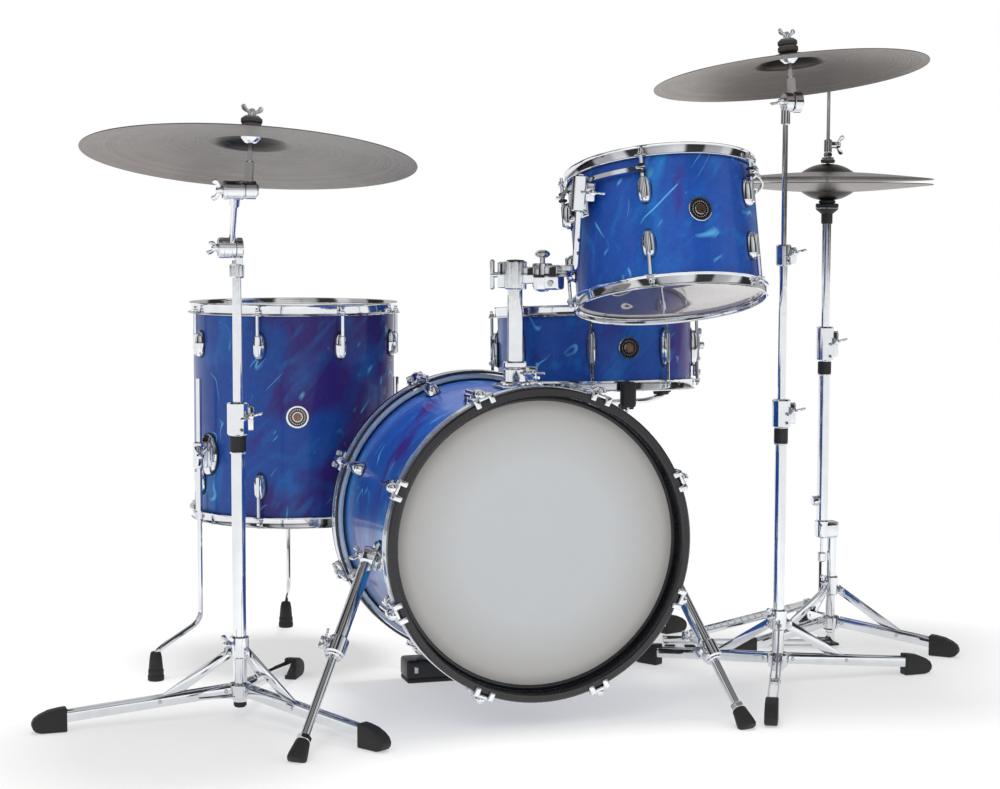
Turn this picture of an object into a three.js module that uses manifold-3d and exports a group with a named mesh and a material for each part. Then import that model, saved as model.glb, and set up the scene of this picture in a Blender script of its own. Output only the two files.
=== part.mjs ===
// Acoustic drum kit: bass drum, rack tom, floor tom and snare, two cymbal stands and a hi-hat stand.
// Millimetres, +Z up, the audience side faces -Y. The origin is the middle of the kit on the floor.
import * as THREE from 'three';
import { mergeVertices } from 'three/addons/utils/BufferGeometryUtils.js';
import Module from 'manifold-3d';

const wasm = await Module();
wasm.setup();

// ---- driving dimensions ----
const GAP = 0.3;                  // clearance between neighbours that touch
const BORE_GAP = 0.3;             // radial clearance of a rod in its tube
const DRUM_FACETS = 30;
const BASS_FACETS = 44;
const CYMBAL_FACETS = 30;
const TUBE_FACETS = 10;
const DISC_FACETS = 12;
const BORE_FACETS = 24;           // a bore in which a faceted rod turns

const SHELL_WALL = 7;
const BASS_RADIUS = 228.6;        // 18 inch shell
const BASS_DEPTH = 356;           // 14 inches
const BASS_HOOP_RADIUS = BASS_RADIUS + 16.4;
const BASS_HOOP_WIDTH = 38;
const BASS_HOOP_PROUD = 29.5;     // a hoop's outer face beyond the shell's edge
const BASS_CLEARANCE = 43;        // floor to the hoops
const BASS_LENGTH = BASS_DEPTH + 2 * BASS_HOOP_PROUD;
const BASS_AXIS_Z = BASS_CLEARANCE + BASS_HOOP_RADIUS;
const BASS_TOP = BASS_AXIS_Z + BASS_RADIUS;

const TOM_RADIUS = 152.4;         // 12 inch shell
const TOM_DEPTH = 203;            // 8 inches
const TOM_TILT = -0.252;          // top leans away from the audience

const FLOOR_TOM_RADIUS = 177.8;   // 14 inch shell
const FLOOR_TOM_DEPTH = 356;      // 14 inches
const FLOOR_TOM_CENTRE = [-267, BASS_LENGTH / 2 + 207.5, 454];
const FLOOR_LEG_RADIUS = 4.8;
const FLOOR_LEG_ANGLES = [203, 323, 83];
const FLOOR_BRACKET_Z = -71;      // leg bracket's middle, from the drum's middle
const FLOOR_LEG_TOP = 64;

const SNARE_RADIUS = 177.8;       // 14 inch shell
const SNARE_DEPTH = 127;          // 5 inches
const SNARE_CENTRE = [286, BASS_LENGTH / 2 + 166.5, BASS_TOP + 39.4];
const SNARE_TILT = 0.06;

const POST_X = 18;                // tom post on top of the bass drum shell
const POST_RADIUS = 12.7;
const HOLDER_Z = BASS_TOP + 183.4;
const POST_TOP = HOLDER_Z + 16;
const POST_FOOT = HOLDER_Z - 300;
const HOLDER_YAW = -38;           // degrees the tom holder is turned about its post
const HOLDER_REACH = 86;          // post axis to the face on which the tom arm tilts
const PIVOT_Z = HOLDER_Z + 12;
const ARM_TOP = [103, -78, HOLDER_Z + 162];
const ARM_RADIUS = 6.3;
const ARM_STANDOFF = 27.7;        // tom shell to the top of the arm
const ARM_ON_TOM = [204.4, 84.1]; // degrees round the tom and height above its middle

const CRASH_RADIUS = 254;         // 20 inch cymbal on the left stand
const LEFT_STAND = [-BASS_HOOP_RADIUS - 191, 0];
const CRASH_CENTRE = [LEFT_STAND[0] + 10.8, -77.2, 917.6];   // crown, where the stem comes through
const CRASH_NORMAL = [0.082, 0.139, 1];
const RIDE_RADIUS = 228.6;        // 18 inch cymbal on the right stand
const STAND_PAST_TOM = -69.8;     // sets the right stand clear of the bass drum and the tom
const RIGHT_STAND = [BASS_HOOP_RADIUS + 2 * TOM_RADIUS + STAND_PAST_TOM, -27];
const RIDE_CENTRE = [RIGHT_STAND[0] + 8, -17.5, HOLDER_Z + 366];
const RIDE_NORMAL = [-0.064, 0.117, 1];
const HAT_RADIUS = 190.5;         // 15 inch hi-hats
const HAT_STAND = [RIGHT_STAND[0] + 213, 250];
const HAT_GAP_Z = 862;            // height at which the two hi-hat edges face each other

const LEFT_LOWER_RADIUS = 11;
const LEG_REACH = 325;            // stand axis to the tip of a leg
const LEG_WIDTH = 18;
const LEG_SLOT = 12;
const LEG_HEIGHT = 18;
const HUB_Z = 46;
const LEG_PIVOT_RADIUS = LEFT_LOWER_RADIUS + 13;
const FOOT_LENGTH = 52;
const FOOT_WIDTH = 30;
const FOOT_HEIGHT = 38;
const BRACE_ON_LEG = 125;         // radius of the brace's lower pivot
const COLLAR_PIVOT = [LEFT_LOWER_RADIUS + 6, 106];   // radius and height of the brace's upper pivot

const RAD = Math.PI / 180;

// ---- materials ----
const paint = (color, roughness, metalness) =>
  new THREE.MeshStandardMaterial({ color, roughness, metalness });
const BLUE = [0x1c3fb4, 0.25, 0.1];
const CHROME = [0xd5d8dc, 0.12, 1];
const BLACK = [0x0d0d0f, 0.3, 0];
const RUBBER = [0x141414, 0.8, 0];
const FILM = [0xe6e6e8, 0.5, 0];
const CLEAR_FILM = [0xb9bcc4, 0.15, 0];
const BRONZE = [0x8a7c6a, 0.35, 1];

// ---- solids ----
function toSolid(geometry) {
  const bare = geometry.clone();
  bare.deleteAttribute('normal');
  bare.deleteAttribute('uv');
  const welded = mergeVertices(bare, 1e-4);
  const index = welded.index.array;
  const kept = [];
  for (let i = 0; i < index.length; i += 3) {
    const [a, b, c] = [index[i], index[i + 1], index[i + 2]];
    if (a !== b && b !== c && a !== c) kept.push(a, b, c);
  }
  const position = new Float32Array(welded.attributes.position.array);
  if (signedVolume(position, kept) < 0) kept.reverse();
  const mesh = new wasm.Mesh({ numProp: 3, vertProperties: position, triVerts: new Uint32Array(kept) });
  return new wasm.Manifold(mesh);
}

function signedVolume(position, index) {
  const [a, b, c] = [new THREE.Vector3(), new THREE.Vector3(), new THREE.Vector3()];
  let volume = 0;
  for (let i = 0; i < index.length; i += 3) {
    a.fromArray(position, index[i] * 3);
    b.fromArray(position, index[i + 1] * 3);
    c.fromArray(position, index[i + 2] * 3);
    volume += a.dot(b.cross(c));
  }
  return volume;
}

function toGeometry(solid) {
  const mesh = solid.getMesh();
  const geometry = new THREE.BufferGeometry();
  geometry.setAttribute('position', new THREE.BufferAttribute(new Float32Array(mesh.vertProperties), 3));
  geometry.setIndex(new THREE.BufferAttribute(new Uint32Array(mesh.triVerts), 1));
  geometry.computeVertexNormals();
  return geometry;
}

const fuse = (...pieces) => toGeometry(pieces.map(toSolid).reduce((all, piece) => all.add(piece)));
const cut = (piece, ...tools) =>
  toGeometry(tools.map(toSolid).reduce((all, tool) => all.subtract(tool), toSolid(piece)));
const common = (piece, other) => toGeometry(toSolid(piece).intersect(toSolid(other)));

const at = (geometry, x, y, z) => geometry.clone().translate(x, y, z);
const block = (x, y, z) => new THREE.BoxGeometry(x, y, z);

// A cylinder standing on z = 0.
function rod(radius, length, facets = TUBE_FACETS, topRadius = radius) {
  const upright = new THREE.CylinderGeometry(topRadius, radius, length, facets).rotateX(Math.PI / 2);
  return upright.translate(0, 0, length / 2);
}

// A ring or solid of revolution about Z from [radius, z] pairs; a ring's profile closes on itself.
function turn(profile, facets = DRUM_FACETS) {
  const points = profile.map(([radius, z]) => new THREE.Vector2(radius, z));
  if (profile[0][0] > 0) points.push(points[0].clone());
  return new THREE.LatheGeometry(points, facets).rotateX(Math.PI / 2);
}

const ring = (outer, inner, low, high, facets = TUBE_FACETS) =>
  turn([[inner, low], [outer, low], [outer, high], [inner, high]], facets);

// Turns a geometry built along +Z to lie along a direction, then moves it to a point.
function aim(geometry, from, direction) {
  const turned = new THREE.Quaternion().setFromUnitVectors(
    new THREE.Vector3(0, 0, 1),
    new THREE.Vector3(...direction).normalize(),
  );
  return geometry.clone().applyQuaternion(turned).translate(...from);
}

function between(from, to, radius, facets = TUBE_FACETS) {
  const direction = to.map((value, i) => value - from[i]);
  return aim(rod(radius, Math.hypot(...direction), facets), from, direction);
}

const along = (point, direction, distance) => {
  const length = Math.hypot(...direction);
  return point.map((value, i) => value + (direction[i] / length) * distance);
};
const polar = (radius, degrees) => [radius * Math.cos(degrees * RAD), radius * Math.sin(degrees * RAD)];
const spun = (geometry, degrees) => geometry.clone().rotateZ(degrees * RAD);

function add(group, name, geometry, look) {
  const mesh = new THREE.Mesh(geometry, paint(...look));
  mesh.name = name;
  group.add(mesh);
}

function assembly(name, position = [0, 0, 0], rotation = [0, 0, 0]) {
  const group = new THREE.Group();
  group.name = name;
  group.position.set(...position);
  group.rotation.set(...rotation);
  return group;
}

// ---- drums ----
// A drum head: a shallow disc that lies on the bearing edge at z = 0.
const headDisc = (radius, facets) =>
  turn([[0, GAP], [radius, GAP], [radius, 2.2], [radius - 9, 3.4], [0, 3.4]], facets);

// A metal hoop: a wall round the head, a foot flange and a step that holds the head down.
const flangedHoop = (radius) => turn([
  [radius + 2, -6], [radius + 9, -6], [radius + 4.6, -3.2], [radius + 4.6, 12],
  [radius - 0.5, 12], [radius - 0.5, 3.8], [radius + 2, 3.8],
]);

function headsAndHoops(group, prefix, radius, depth, topFilm, bottomFilm) {
  const head = headDisc(radius + 1.6, DRUM_FACETS);
  const hoop = flangedHoop(radius);
  add(group, `${prefix}_batter_head`, at(head, 0, 0, depth / 2), topFilm);
  add(group, `${prefix}_batter_hoop`, at(hoop, 0, 0, depth / 2), CHROME);
  add(group, `${prefix}_resonant_head`, at(head.clone().rotateX(Math.PI), 0, 0, -depth / 2), bottomFilm);
  add(group, `${prefix}_resonant_hoop`, at(hoop.clone().rotateX(Math.PI), 0, 0, -depth / 2), CHROME);
}

const shell = (radius, depth, facets = DRUM_FACETS) =>
  ring(radius, radius - SHELL_WALL, -depth / 2, depth / 2, facets);

// The bass drum is built with its axis on Z and its front head at +Z, then laid down to face -Y.
function bassDrum() {
  const group = assembly('bass_drum', [0, 0, BASS_AXIS_Z], [Math.PI / 2, 0, 0]);
  const postHole = rod(POST_RADIUS + 1.5, 60, DISC_FACETS).rotateX(-Math.PI / 2)
    .translate(POST_X, BASS_RADIUS - 40, 0);
  add(group, 'bass_shell', cut(shell(BASS_RADIUS, BASS_DEPTH, BASS_FACETS), postHole), BLUE);
  const head = headDisc(BASS_RADIUS + 6.4, BASS_FACETS);
  const edge = BASS_DEPTH / 2;
  const front = BASS_LENGTH / 2 - edge;
  const hoop = turn([
    [BASS_RADIUS + 7, front - BASS_HOOP_WIDTH], [BASS_HOOP_RADIUS, front - BASS_HOOP_WIDTH],
    [BASS_HOOP_RADIUS, front], [BASS_RADIUS + 3, front], [BASS_RADIUS + 3, 3.8], [BASS_RADIUS + 7, 3.8],
  ], BASS_FACETS);
  add(group, 'bass_front_head', at(head, 0, 0, edge), FILM);
  add(group, 'bass_front_hoop', at(hoop, 0, 0, edge), BLACK);
  add(group, 'bass_rear_head', at(head.clone().rotateX(Math.PI), 0, 0, -edge), FILM);
  add(group, 'bass_rear_hoop', at(hoop.clone().rotateX(Math.PI), 0, 0, -edge), BLACK);
  return group;
}

// Cylinder that fills the bass drum's outline with a gap, used to saddle parts that sit on it.
const bassOutline = (radius, length) =>
  at(rod(radius, length, BASS_FACETS).rotateX(Math.PI / 2), 0, length / 2, BASS_AXIS_Z);

function bassRiser(group) {
  const middle = BASS_LENGTH / 2 - 29;
  const low = BASS_CLEARANCE - 3;
  const high = BASS_CLEARANCE + 25;
  const foot = fuse(
    at(block(250, 53, low), 0, middle, low / 2),
    at(block(150, 53, high), 0, middle, high / 2),
  );
  add(group, 'bass_riser', cut(foot, bassOutline(BASS_HOOP_RADIUS + GAP, 2 * BASS_LENGTH)), RUBBER);
}

// A spur: bracket on the shell, tube on a ratchet disc, and the leg that slides out of the tube.
const SPUR_TUBE_RADIUS = 10.5;
const SPUR_LEG_RADIUS = 7;
const SPUR_TUBE_LENGTH = 180;
const SPUR_INSERT = 70;
const SPUR_PIVOTS = {
  left: [-BASS_RADIUS - 19.4, -92, BASS_AXIS_Z - 25],
  right: [BASS_RADIUS + 17.4, -100, BASS_AXIS_Z - 56],
};
const SPUR_FEET = {
  left: [SPUR_PIVOTS.left[0] - 155, -291, 0],
  right: [SPUR_PIVOTS.right[0] + 65, -292, 0],
};

function spur(group, side) {
  const pivot = SPUR_PIVOTS[side];
  const foot = SPUR_FEET[side];
  const direction = foot.map((value, i) => value - pivot[i]);
  const reach = Math.hypot(...direction);
  const d = new THREE.Vector3(...direction).normalize();
  const outward = new THREE.Vector3(Math.sign(pivot[0]), 0, 0);
  const hinge = outward.clone().addScaledVector(d, -outward.dot(d)).normalize().toArray();
  const disc = along(pivot, hinge, -12);
  const base = at(block(40, 54, 62), pivot[0] - 13.6 * outward.x, pivot[1], pivot[2]);
  const clear = aim(rod(60, 80, DISC_FACETS), along(disc, hinge, -GAP), hinge);
  const bracket = cut(
    fuse(cut(base, clear), aim(rod(18, 30, DISC_FACETS), along(disc, hinge, -30 - GAP), hinge)),
    bassOutline(BASS_RADIUS + GAP, BASS_DEPTH),
  );
  add(group, `spur_bracket_${side}`, bracket, CHROME);
  const sleeve = aim(rod(SPUR_TUBE_RADIUS, SPUR_TUBE_LENGTH), pivot, direction);
  const clamp = aim(rod(16, 30), along(pivot, direction, SPUR_TUBE_LENGTH - 28), direction);
  const drill = rod(SPUR_LEG_RADIUS + BORE_GAP, SPUR_TUBE_LENGTH);
  const bore = aim(drill, along(pivot, direction, 60), direction);
  const ratchet = aim(rod(18, 18, DISC_FACETS), disc, hinge);
  add(group, `spur_tube_${side}`, cut(fuse(sleeve, clamp, ratchet), bore), CHROME);
  const start = along(pivot, direction, SPUR_TUBE_LENGTH - SPUR_INSERT);
  const leg = fuse(
    aim(rod(SPUR_LEG_RADIUS, reach - SPUR_TUBE_LENGTH + SPUR_INSERT - 20), start, direction),
    aim(rod(11, 6), along(pivot, direction, reach - 42), direction),
    aim(rod(11, 60, TUBE_FACETS, 15), along(pivot, direction, reach - 36.5), direction),
  );
  add(group, `spur_leg_${side}`, cut(leg, at(block(200, 200, 100), foot[0], foot[1], -50)), RUBBER);
}

function tomPostBase(group) {
  const skin = ring(BASS_RADIUS + 5, BASS_RADIUS + GAP, -32, 32, BASS_FACETS).rotateX(Math.PI / 2);
  const plate = common(
    at(skin, 0, 0, BASS_AXIS_Z),
    at(block(64, 64, 100), POST_X, 0, BASS_TOP),
  );
  const low = BASS_TOP + 1;
  const collar = at(ring(18, POST_RADIUS - 2, 0, 42, DISC_FACETS), POST_X, 0, low);
  const boss = at(block(16, 22, 24), POST_X + 22, 0, low + 22);
  const bore = at(rod(POST_RADIUS + BORE_GAP, 200, DISC_FACETS), POST_X, 0, low - 60);
  add(group, 'tom_post_base', cut(fuse(plate, collar, boss), bore), CHROME);
}

const holderSide = (geometry) => geometry.clone().rotateZ(HOLDER_YAW * RAD).translate(POST_X, 0, 0);
const ARM_ELBOW = [
  POST_X + (HOLDER_REACH + 18) * Math.cos(HOLDER_YAW * RAD),
  (HOLDER_REACH + 18) * Math.sin(HOLDER_YAW * RAD),
  PIVOT_Z,
];

function tomHolder(group) {
  const post = ring(POST_RADIUS, POST_RADIUS - 2, POST_FOOT, POST_TOP, DISC_FACETS);
  add(group, 'tom_post', at(post, POST_X, 0, 0), CHROME);
  const low = HOLDER_Z - 40;
  const turning = (POST_RADIUS + BORE_GAP) / Math.cos(Math.PI / BORE_FACETS);
  const bore = at(rod(turning, POST_TOP + GAP - low, BORE_FACETS), 0, 0, low);
  const clamp = at(rod(19, 44, DISC_FACETS), 0, 0, HOLDER_Z - 22);
  const arm = at(block(26, 26, 30), 24, 0, HOLDER_Z);
  const housing = at(block(50, 34, 46), 55, 0, HOLDER_Z - 2);
  const seat = aim(rod(15, 8, DISC_FACETS), [HOLDER_REACH - 8, 0, PIVOT_Z], [1, 0, 0]);
  const cover = at(rod(14, 8, DISC_FACETS), 0, 0, POST_TOP + GAP);
  const head = fuse(cut(fuse(clamp, arm), bore), housing, seat, cover);
  add(group, 'tom_holder_head', holderSide(head), CHROME);

  // The arm leaves a disc beside the holder and turns up into the tom's bracket.
  const disc = aim(rod(15, 9, DISC_FACETS), [HOLDER_REACH + GAP, 0, PIVOT_Z], [1, 0, 0]);
  const stub = aim(rod(ARM_RADIUS, 14), [HOLDER_REACH + 4, 0, PIVOT_Z], [1, 0, 0]);
  const knee = at(new THREE.IcosahedronGeometry(ARM_RADIUS + 0.6, 1), ...ARM_ELBOW);
  const riser = between(ARM_ELBOW, ARM_TOP, ARM_RADIUS);
  add(group, 'tom_l_arm', fuse(holderSide(fuse(disc, stub)), knee, riser), CHROME);
}

// The tom hangs beside the top of its arm.
const armOnTom = new THREE.Vector3(...polar(TOM_RADIUS + ARM_STANDOFF, ARM_ON_TOM[0]), ARM_ON_TOM[1]);
armOnTom.applyAxisAngle(new THREE.Vector3(1, 0, 0), TOM_TILT);
const TOM_CENTRE = ARM_TOP.map((value, i) => value - armOnTom.getComponent(i));

function rackTom() {
  const group = assembly('rack_tom', TOM_CENTRE, [TOM_TILT, 0, 0]);
  add(group, 'tom_shell', shell(TOM_RADIUS, TOM_DEPTH), BLUE);
  headsAndHoops(group, 'tom', TOM_RADIUS, TOM_DEPTH, FILM, CLEAR_FILM);
  return group;
}

const TOM_BRACKET_ANGLE = 196.4;

// The bracket stands off the shell's left side and is gripped on the arm.
function tomBracket(group) {
  const inTom = (geometry) => geometry.clone().rotateX(TOM_TILT).translate(...TOM_CENTRE);
  const plate = inTom(spun(at(block(22, 44, 80), TOM_RADIUS + 10, 0, 38), TOM_BRACKET_ANGLE));
  const up = ARM_TOP.map((value, i) => value - ARM_ELBOW[i]);
  const grip = aim(rod(13, 58, DISC_FACETS), along(ARM_TOP, up, -66), up);
  const clear = aim(rod(ARM_RADIUS + BORE_GAP, 200), along(ARM_TOP, up, -120), up);
  const drum = at(rod(TOM_RADIUS + GAP + 0.5, TOM_DEPTH, DRUM_FACETS), 0, 0, -TOM_DEPTH / 2);
  const hoop = at(rod(TOM_RADIUS + 10, 40, DRUM_FACETS), 0, 0, TOM_DEPTH / 2 - 7);
  add(group, 'tom_mount_bracket', cut(fuse(plate, grip), clear, inTom(drum), inTom(hoop)), CHROME);
}

function floorTom() {
  const group = assembly('floor_tom', FLOOR_TOM_CENTRE);
  const height = FLOOR_TOM_CENTRE[2];
  const legRadius = FLOOR_TOM_RADIUS + 20;
  const bore = at(rod(FLOOR_LEG_RADIUS + BORE_GAP, 80), legRadius, 0, FLOOR_BRACKET_Z - 40);
  const bracket = cut(at(block(26, 26, 46), FLOOR_TOM_RADIUS + 12, 0, FLOOR_BRACKET_Z), bore);
  const brackets = FLOOR_LEG_ANGLES.map((angle) => spun(bracket, angle));
  const wall = cut(
    fuse(shell(FLOOR_TOM_RADIUS, FLOOR_TOM_DEPTH), ...brackets),
    at(rod(FLOOR_TOM_RADIUS - SHELL_WALL, FLOOR_TOM_DEPTH, DRUM_FACETS), 0, 0, -FLOOR_TOM_DEPTH / 2),
  );
  add(group, 'floor_tom_shell', wall, BLUE);
  headsAndHoops(group, 'floor_tom', FLOOR_TOM_RADIUS, FLOOR_TOM_DEPTH, FILM, CLEAR_FILM);
  const bend = [legRadius, 0, 93 - height];
  const toe = [legRadius + 90, 0, 50 - height];
  const leg = fuse(
    between([legRadius, 0, FLOOR_LEG_TOP], bend, FLOOR_LEG_RADIUS),
    at(new THREE.IcosahedronGeometry(FLOOR_LEG_RADIUS + 0.5, 1), ...bend),
    between(bend, toe, FLOOR_LEG_RADIUS),
    at(rod(14, 50, TUBE_FACETS, 9), toe[0], 0, -height),
  );
  FLOOR_LEG_ANGLES.forEach((angle, i) => add(group, `floor_tom_leg_${i + 1}`, spun(leg, angle), CHROME));
  return group;
}

const LEVER_ANGLE = -14;

function snareDrum() {
  const group = assembly('snare_drum', SNARE_CENTRE, [-SNARE_TILT, 0, 0]);
  const pad = spun(at(block(12, 34, 60), SNARE_RADIUS + 4, 0, 2), LEVER_ANGLE);
  const wall = cut(
    fuse(shell(SNARE_RADIUS, SNARE_DEPTH), pad),
    at(rod(SNARE_RADIUS - SHELL_WALL, SNARE_DEPTH, DRUM_FACETS), 0, 0, -SNARE_DEPTH / 2),
  );
  add(group, 'snare_shell', wall, BLUE);
  headsAndHoops(group, 'snare', SNARE_RADIUS, SNARE_DEPTH, FILM, CLEAR_FILM);
  const lever = fuse(
    at(block(8, 16, 54), SNARE_RADIUS + 15, 0, 6),
    at(rod(8, 20, TUBE_FACETS).rotateX(Math.PI / 2), SNARE_RADIUS + 19, 10, -18),
  );
  add(group, 'snare_strainer_lever', spun(lever, LEVER_ANGLE), CHROME);
  return group;
}

// ---- stands ----
// A flat-base leg: two straps side by side, open at the hub end, closed by the rubber foot.
function strapLeg(reach = LEG_REACH) {
  const tip = reach - FOOT_LENGTH;
  const outline = new THREE.Shape();
  const near = LEG_PIVOT_RADIUS - 8;
  outline.moveTo(near, -LEG_WIDTH / 2);
  outline.lineTo(tip + 8, -LEG_WIDTH / 2);
  outline.lineTo(tip + 8, LEG_WIDTH / 2);
  outline.lineTo(near, LEG_WIDTH / 2);
  outline.lineTo(near, LEG_SLOT / 2);
  outline.lineTo(tip - 16, LEG_SLOT / 2);
  outline.lineTo(tip - 16, -LEG_SLOT / 2);
  outline.lineTo(near, -LEG_SLOT / 2);
  const straps = new THREE.ExtrudeGeometry(outline, { depth: LEG_HEIGHT, bevelEnabled: false });
  const droop = Math.atan2(HUB_Z - LEG_HEIGHT / 2 - 15, tip - LEG_PIVOT_RADIUS);
  straps.translate(-LEG_PIVOT_RADIUS, 0, -LEG_HEIGHT / 2).rotateY(droop);
  straps.translate(LEG_PIVOT_RADIUS, 0, HUB_Z);
  const side = new THREE.Shape();
  side.moveTo(tip, 0);
  side.lineTo(reach - 6, 0);
  side.lineTo(reach, 16);
  side.lineTo(reach - 12, 27);
  side.lineTo(tip, FOOT_HEIGHT);
  const foot = new THREE.ExtrudeGeometry(side, { depth: FOOT_WIDTH, bevelEnabled: false });
  foot.rotateX(Math.PI / 2).translate(0, FOOT_WIDTH / 2, 0);
  return fuse(straps, foot);
}

// The brace runs beside the collar's ear down into the slot of the leg.
function brace(pivot = COLLAR_PIVOT) {
  const droop = Math.atan2(pivot[1] - (HUB_Z - 9), BRACE_ON_LEG - pivot[0]);
  const length = Math.hypot(pivot[1] - (HUB_Z - 9), BRACE_ON_LEG - pivot[0]);
  return at(block(length + 10, 4, 10), length / 2, 2.4, 0).rotateY(droop).translate(pivot[0], 0, pivot[1]);
}

const collarEar = (pivot = COLLAR_PIVOT) => at(block(18, 4, 14), pivot[0] - 1, -2, pivot[1]);
const hubEar = () =>
  at(block(LEG_PIVOT_RADIUS, LEG_SLOT - 4 * GAP, 16), LEG_PIVOT_RADIUS / 2 + 2, 0, HUB_Z);

function threeTimes(geometry, first) {
  return [0, 120, 240].map((step) => spun(geometry, first + step));
}

// A whole base with its legs set out: lower tube, hub, collar, legs and braces in one piece.
function fixedBase(angle, tubeRadius, tubeTop, reach = LEG_REACH) {
  return fuse(
    at(rod(tubeRadius, tubeTop - 30), 0, 0, 30),
    at(rod(tubeRadius + 5, 26), 0, 0, HUB_Z - 13),
    at(rod(tubeRadius + 4, 34), 0, 0, COLLAR_PIVOT[1] - 8),
    ...threeTimes(strapLeg(reach), angle),
    ...threeTimes(at(block(16, LEG_WIDTH, 14), LEG_PIVOT_RADIUS - 4, 0, HUB_Z), angle),
    ...threeTimes(fuse(
      at(brace(), 0, -2.4, 0),
      at(block(8, LEG_WIDTH, 8), BRACE_ON_LEG, 0, HUB_Z - 12),
    ), angle),
  );
}

const tubeClamp = (radius, low, height, wingAngle) => fuse(
  at(rod(radius, height), 0, 0, low),
  spun(at(block(14, 16, height * 0.6), radius + 4, 0, low + height / 2), wingAngle),
);

const cymbalBow = (radius, bell, rise, bellRise) => turn([
  [6.5, 0], [bell * 0.62, -bellRise * 0.28], [bell, -bellRise],
  [radius * 0.6, -bellRise - rise * 0.4], [radius, -bellRise - rise],
  [radius, -bellRise - rise + 1.6], [radius * 0.6, -bellRise - rise * 0.4 + 2],
  [bell, -bellRise + 2.4], [bell * 0.62, -bellRise * 0.28 + 2.4], [6.5, 2.4],
], CYMBAL_FACETS);

const LEFT_LEG_ANGLE = 182.4;
const LEFT_UPPER_RADIUS = 7.5;
const LEFT_LOWER_TOP = 505;
const LEFT_SEAT_Z = 744;

function leftStand() {
  const [x, y] = LEFT_STAND;
  const group = assembly('left_cymbal_stand', [x, y, 0]);
  const bore = at(rod(LEFT_UPPER_RADIUS + BORE_GAP, LEFT_LOWER_TOP), 0, 0, 160);
  const lower = cut(fuse(
    at(rod(LEFT_LOWER_RADIUS, LEFT_LOWER_TOP - 30), 0, 0, 30),
    at(rod(LEFT_LOWER_RADIUS + 3, 26), 0, 0, HUB_Z - 13),
    ...threeTimes(hubEar(), LEFT_LEG_ANGLE),
    tubeClamp(LEFT_LOWER_RADIUS + 6, LEFT_LOWER_TOP - 54, 52, 0),
  ), bore);
  add(group, 'left_stand_lower_tube', lower, CHROME);
  const [, pivotZ] = COLLAR_PIVOT;
  const outside = at(block(30, 20, 40), LEFT_LOWER_RADIUS + 15.5, 0, pivotZ);
  const collar = fuse(
    ring(LEFT_LOWER_RADIUS + 3.5, LEFT_LOWER_RADIUS + BORE_GAP, pivotZ - 8, pivotZ + 28),
    ...threeTimes(common(collarEar(), outside), LEFT_LEG_ANGLE),
  );
  add(group, 'left_stand_collar', collar, CHROME);
  threeTimes(strapLeg(), LEFT_LEG_ANGLE)
    .forEach((leg, i) => add(group, `left_stand_leg_${i + 1}`, leg, CHROME));
  const clearOfCollar = rod(LEFT_LOWER_RADIUS + 4.5, 400, 24);
  threeTimes(cut(brace(), clearOfCollar), LEFT_LEG_ANGLE)
    .forEach((bar, i) => add(group, `left_stand_brace_${i + 1}`, bar, CHROME));

  const upper = fuse(
    at(rod(LEFT_UPPER_RADIUS, LEFT_SEAT_Z - 18 - 230), 0, 0, 230),
    at(rod(12, 22), 0, 0, LEFT_SEAT_Z - 46),
    at(block(10, 18, 32), 3, 0, LEFT_SEAT_Z - 14),
    aim(rod(16, 10, DISC_FACETS), [-2, 0, LEFT_SEAT_Z], [1, 0, 0]),
  );
  add(group, 'left_stand_upper_tube', upper, CHROME);

  // The boom leans toward the audience from its ratchet disc to the cymbal tilter.
  const centre = CRASH_CENTRE.map((value, i) => value - [x, y, 0][i]);
  const tilter = along(centre, CRASH_NORMAL, -87);
  const boom = fuse(
    aim(rod(16, 27, DISC_FACETS), [-2 - GAP, 0, LEFT_SEAT_Z], [-1, 0, 0]),
    between([-8, 0, LEFT_SEAT_Z], [-15, tilter[1], tilter[2]], 5),
    aim(rod(14, 33, DISC_FACETS), [-2 - GAP, tilter[1], tilter[2]], [-1, 0, 0]),
  );
  add(group, 'left_stand_boom', boom, CHROME);
  const stem = along(tilter, CRASH_NORMAL, 125);
  const cup = along(centre, CRASH_NORMAL, -8);
  const tilt = fuse(
    aim(rod(14, 20, DISC_FACETS), [-2, tilter[1], tilter[2]], [1, 0, 0]),
    between(tilter, stem, 4),
    aim(rod(7, 32), along(tilter, CRASH_NORMAL, 12), CRASH_NORMAL),
    aim(rod(16, 6, DISC_FACETS), along(cup, CRASH_NORMAL, -4), CRASH_NORMAL),
    aim(rod(14, 12, DISC_FACETS), along(centre, CRASH_NORMAL, 8), CRASH_NORMAL),
    aim(rod(13, 14, DISC_FACETS), along(centre, CRASH_NORMAL, 24), CRASH_NORMAL),
  );
  add(group, 'left_stand_cymbal_tilter', tilt, CHROME);
  add(group, 'left_stand_cymbal', aim(cymbalBow(CRASH_RADIUS, 58, 24, 16), centre, CRASH_NORMAL), BRONZE);
  return group;
}

const RIGHT_LEG_ANGLE = 3.5;
const RIGHT_LEG_REACH = 300;      // shorter, so the bass drum's right spur can fold past the front leg
const RIGHT_LOWER_TOP = 492;
const RIGHT_MID_RADIUS = 6.8;
const RIGHT_MID_TOP = 752;
const RIGHT_ROD_RADIUS = 4.5;

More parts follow.
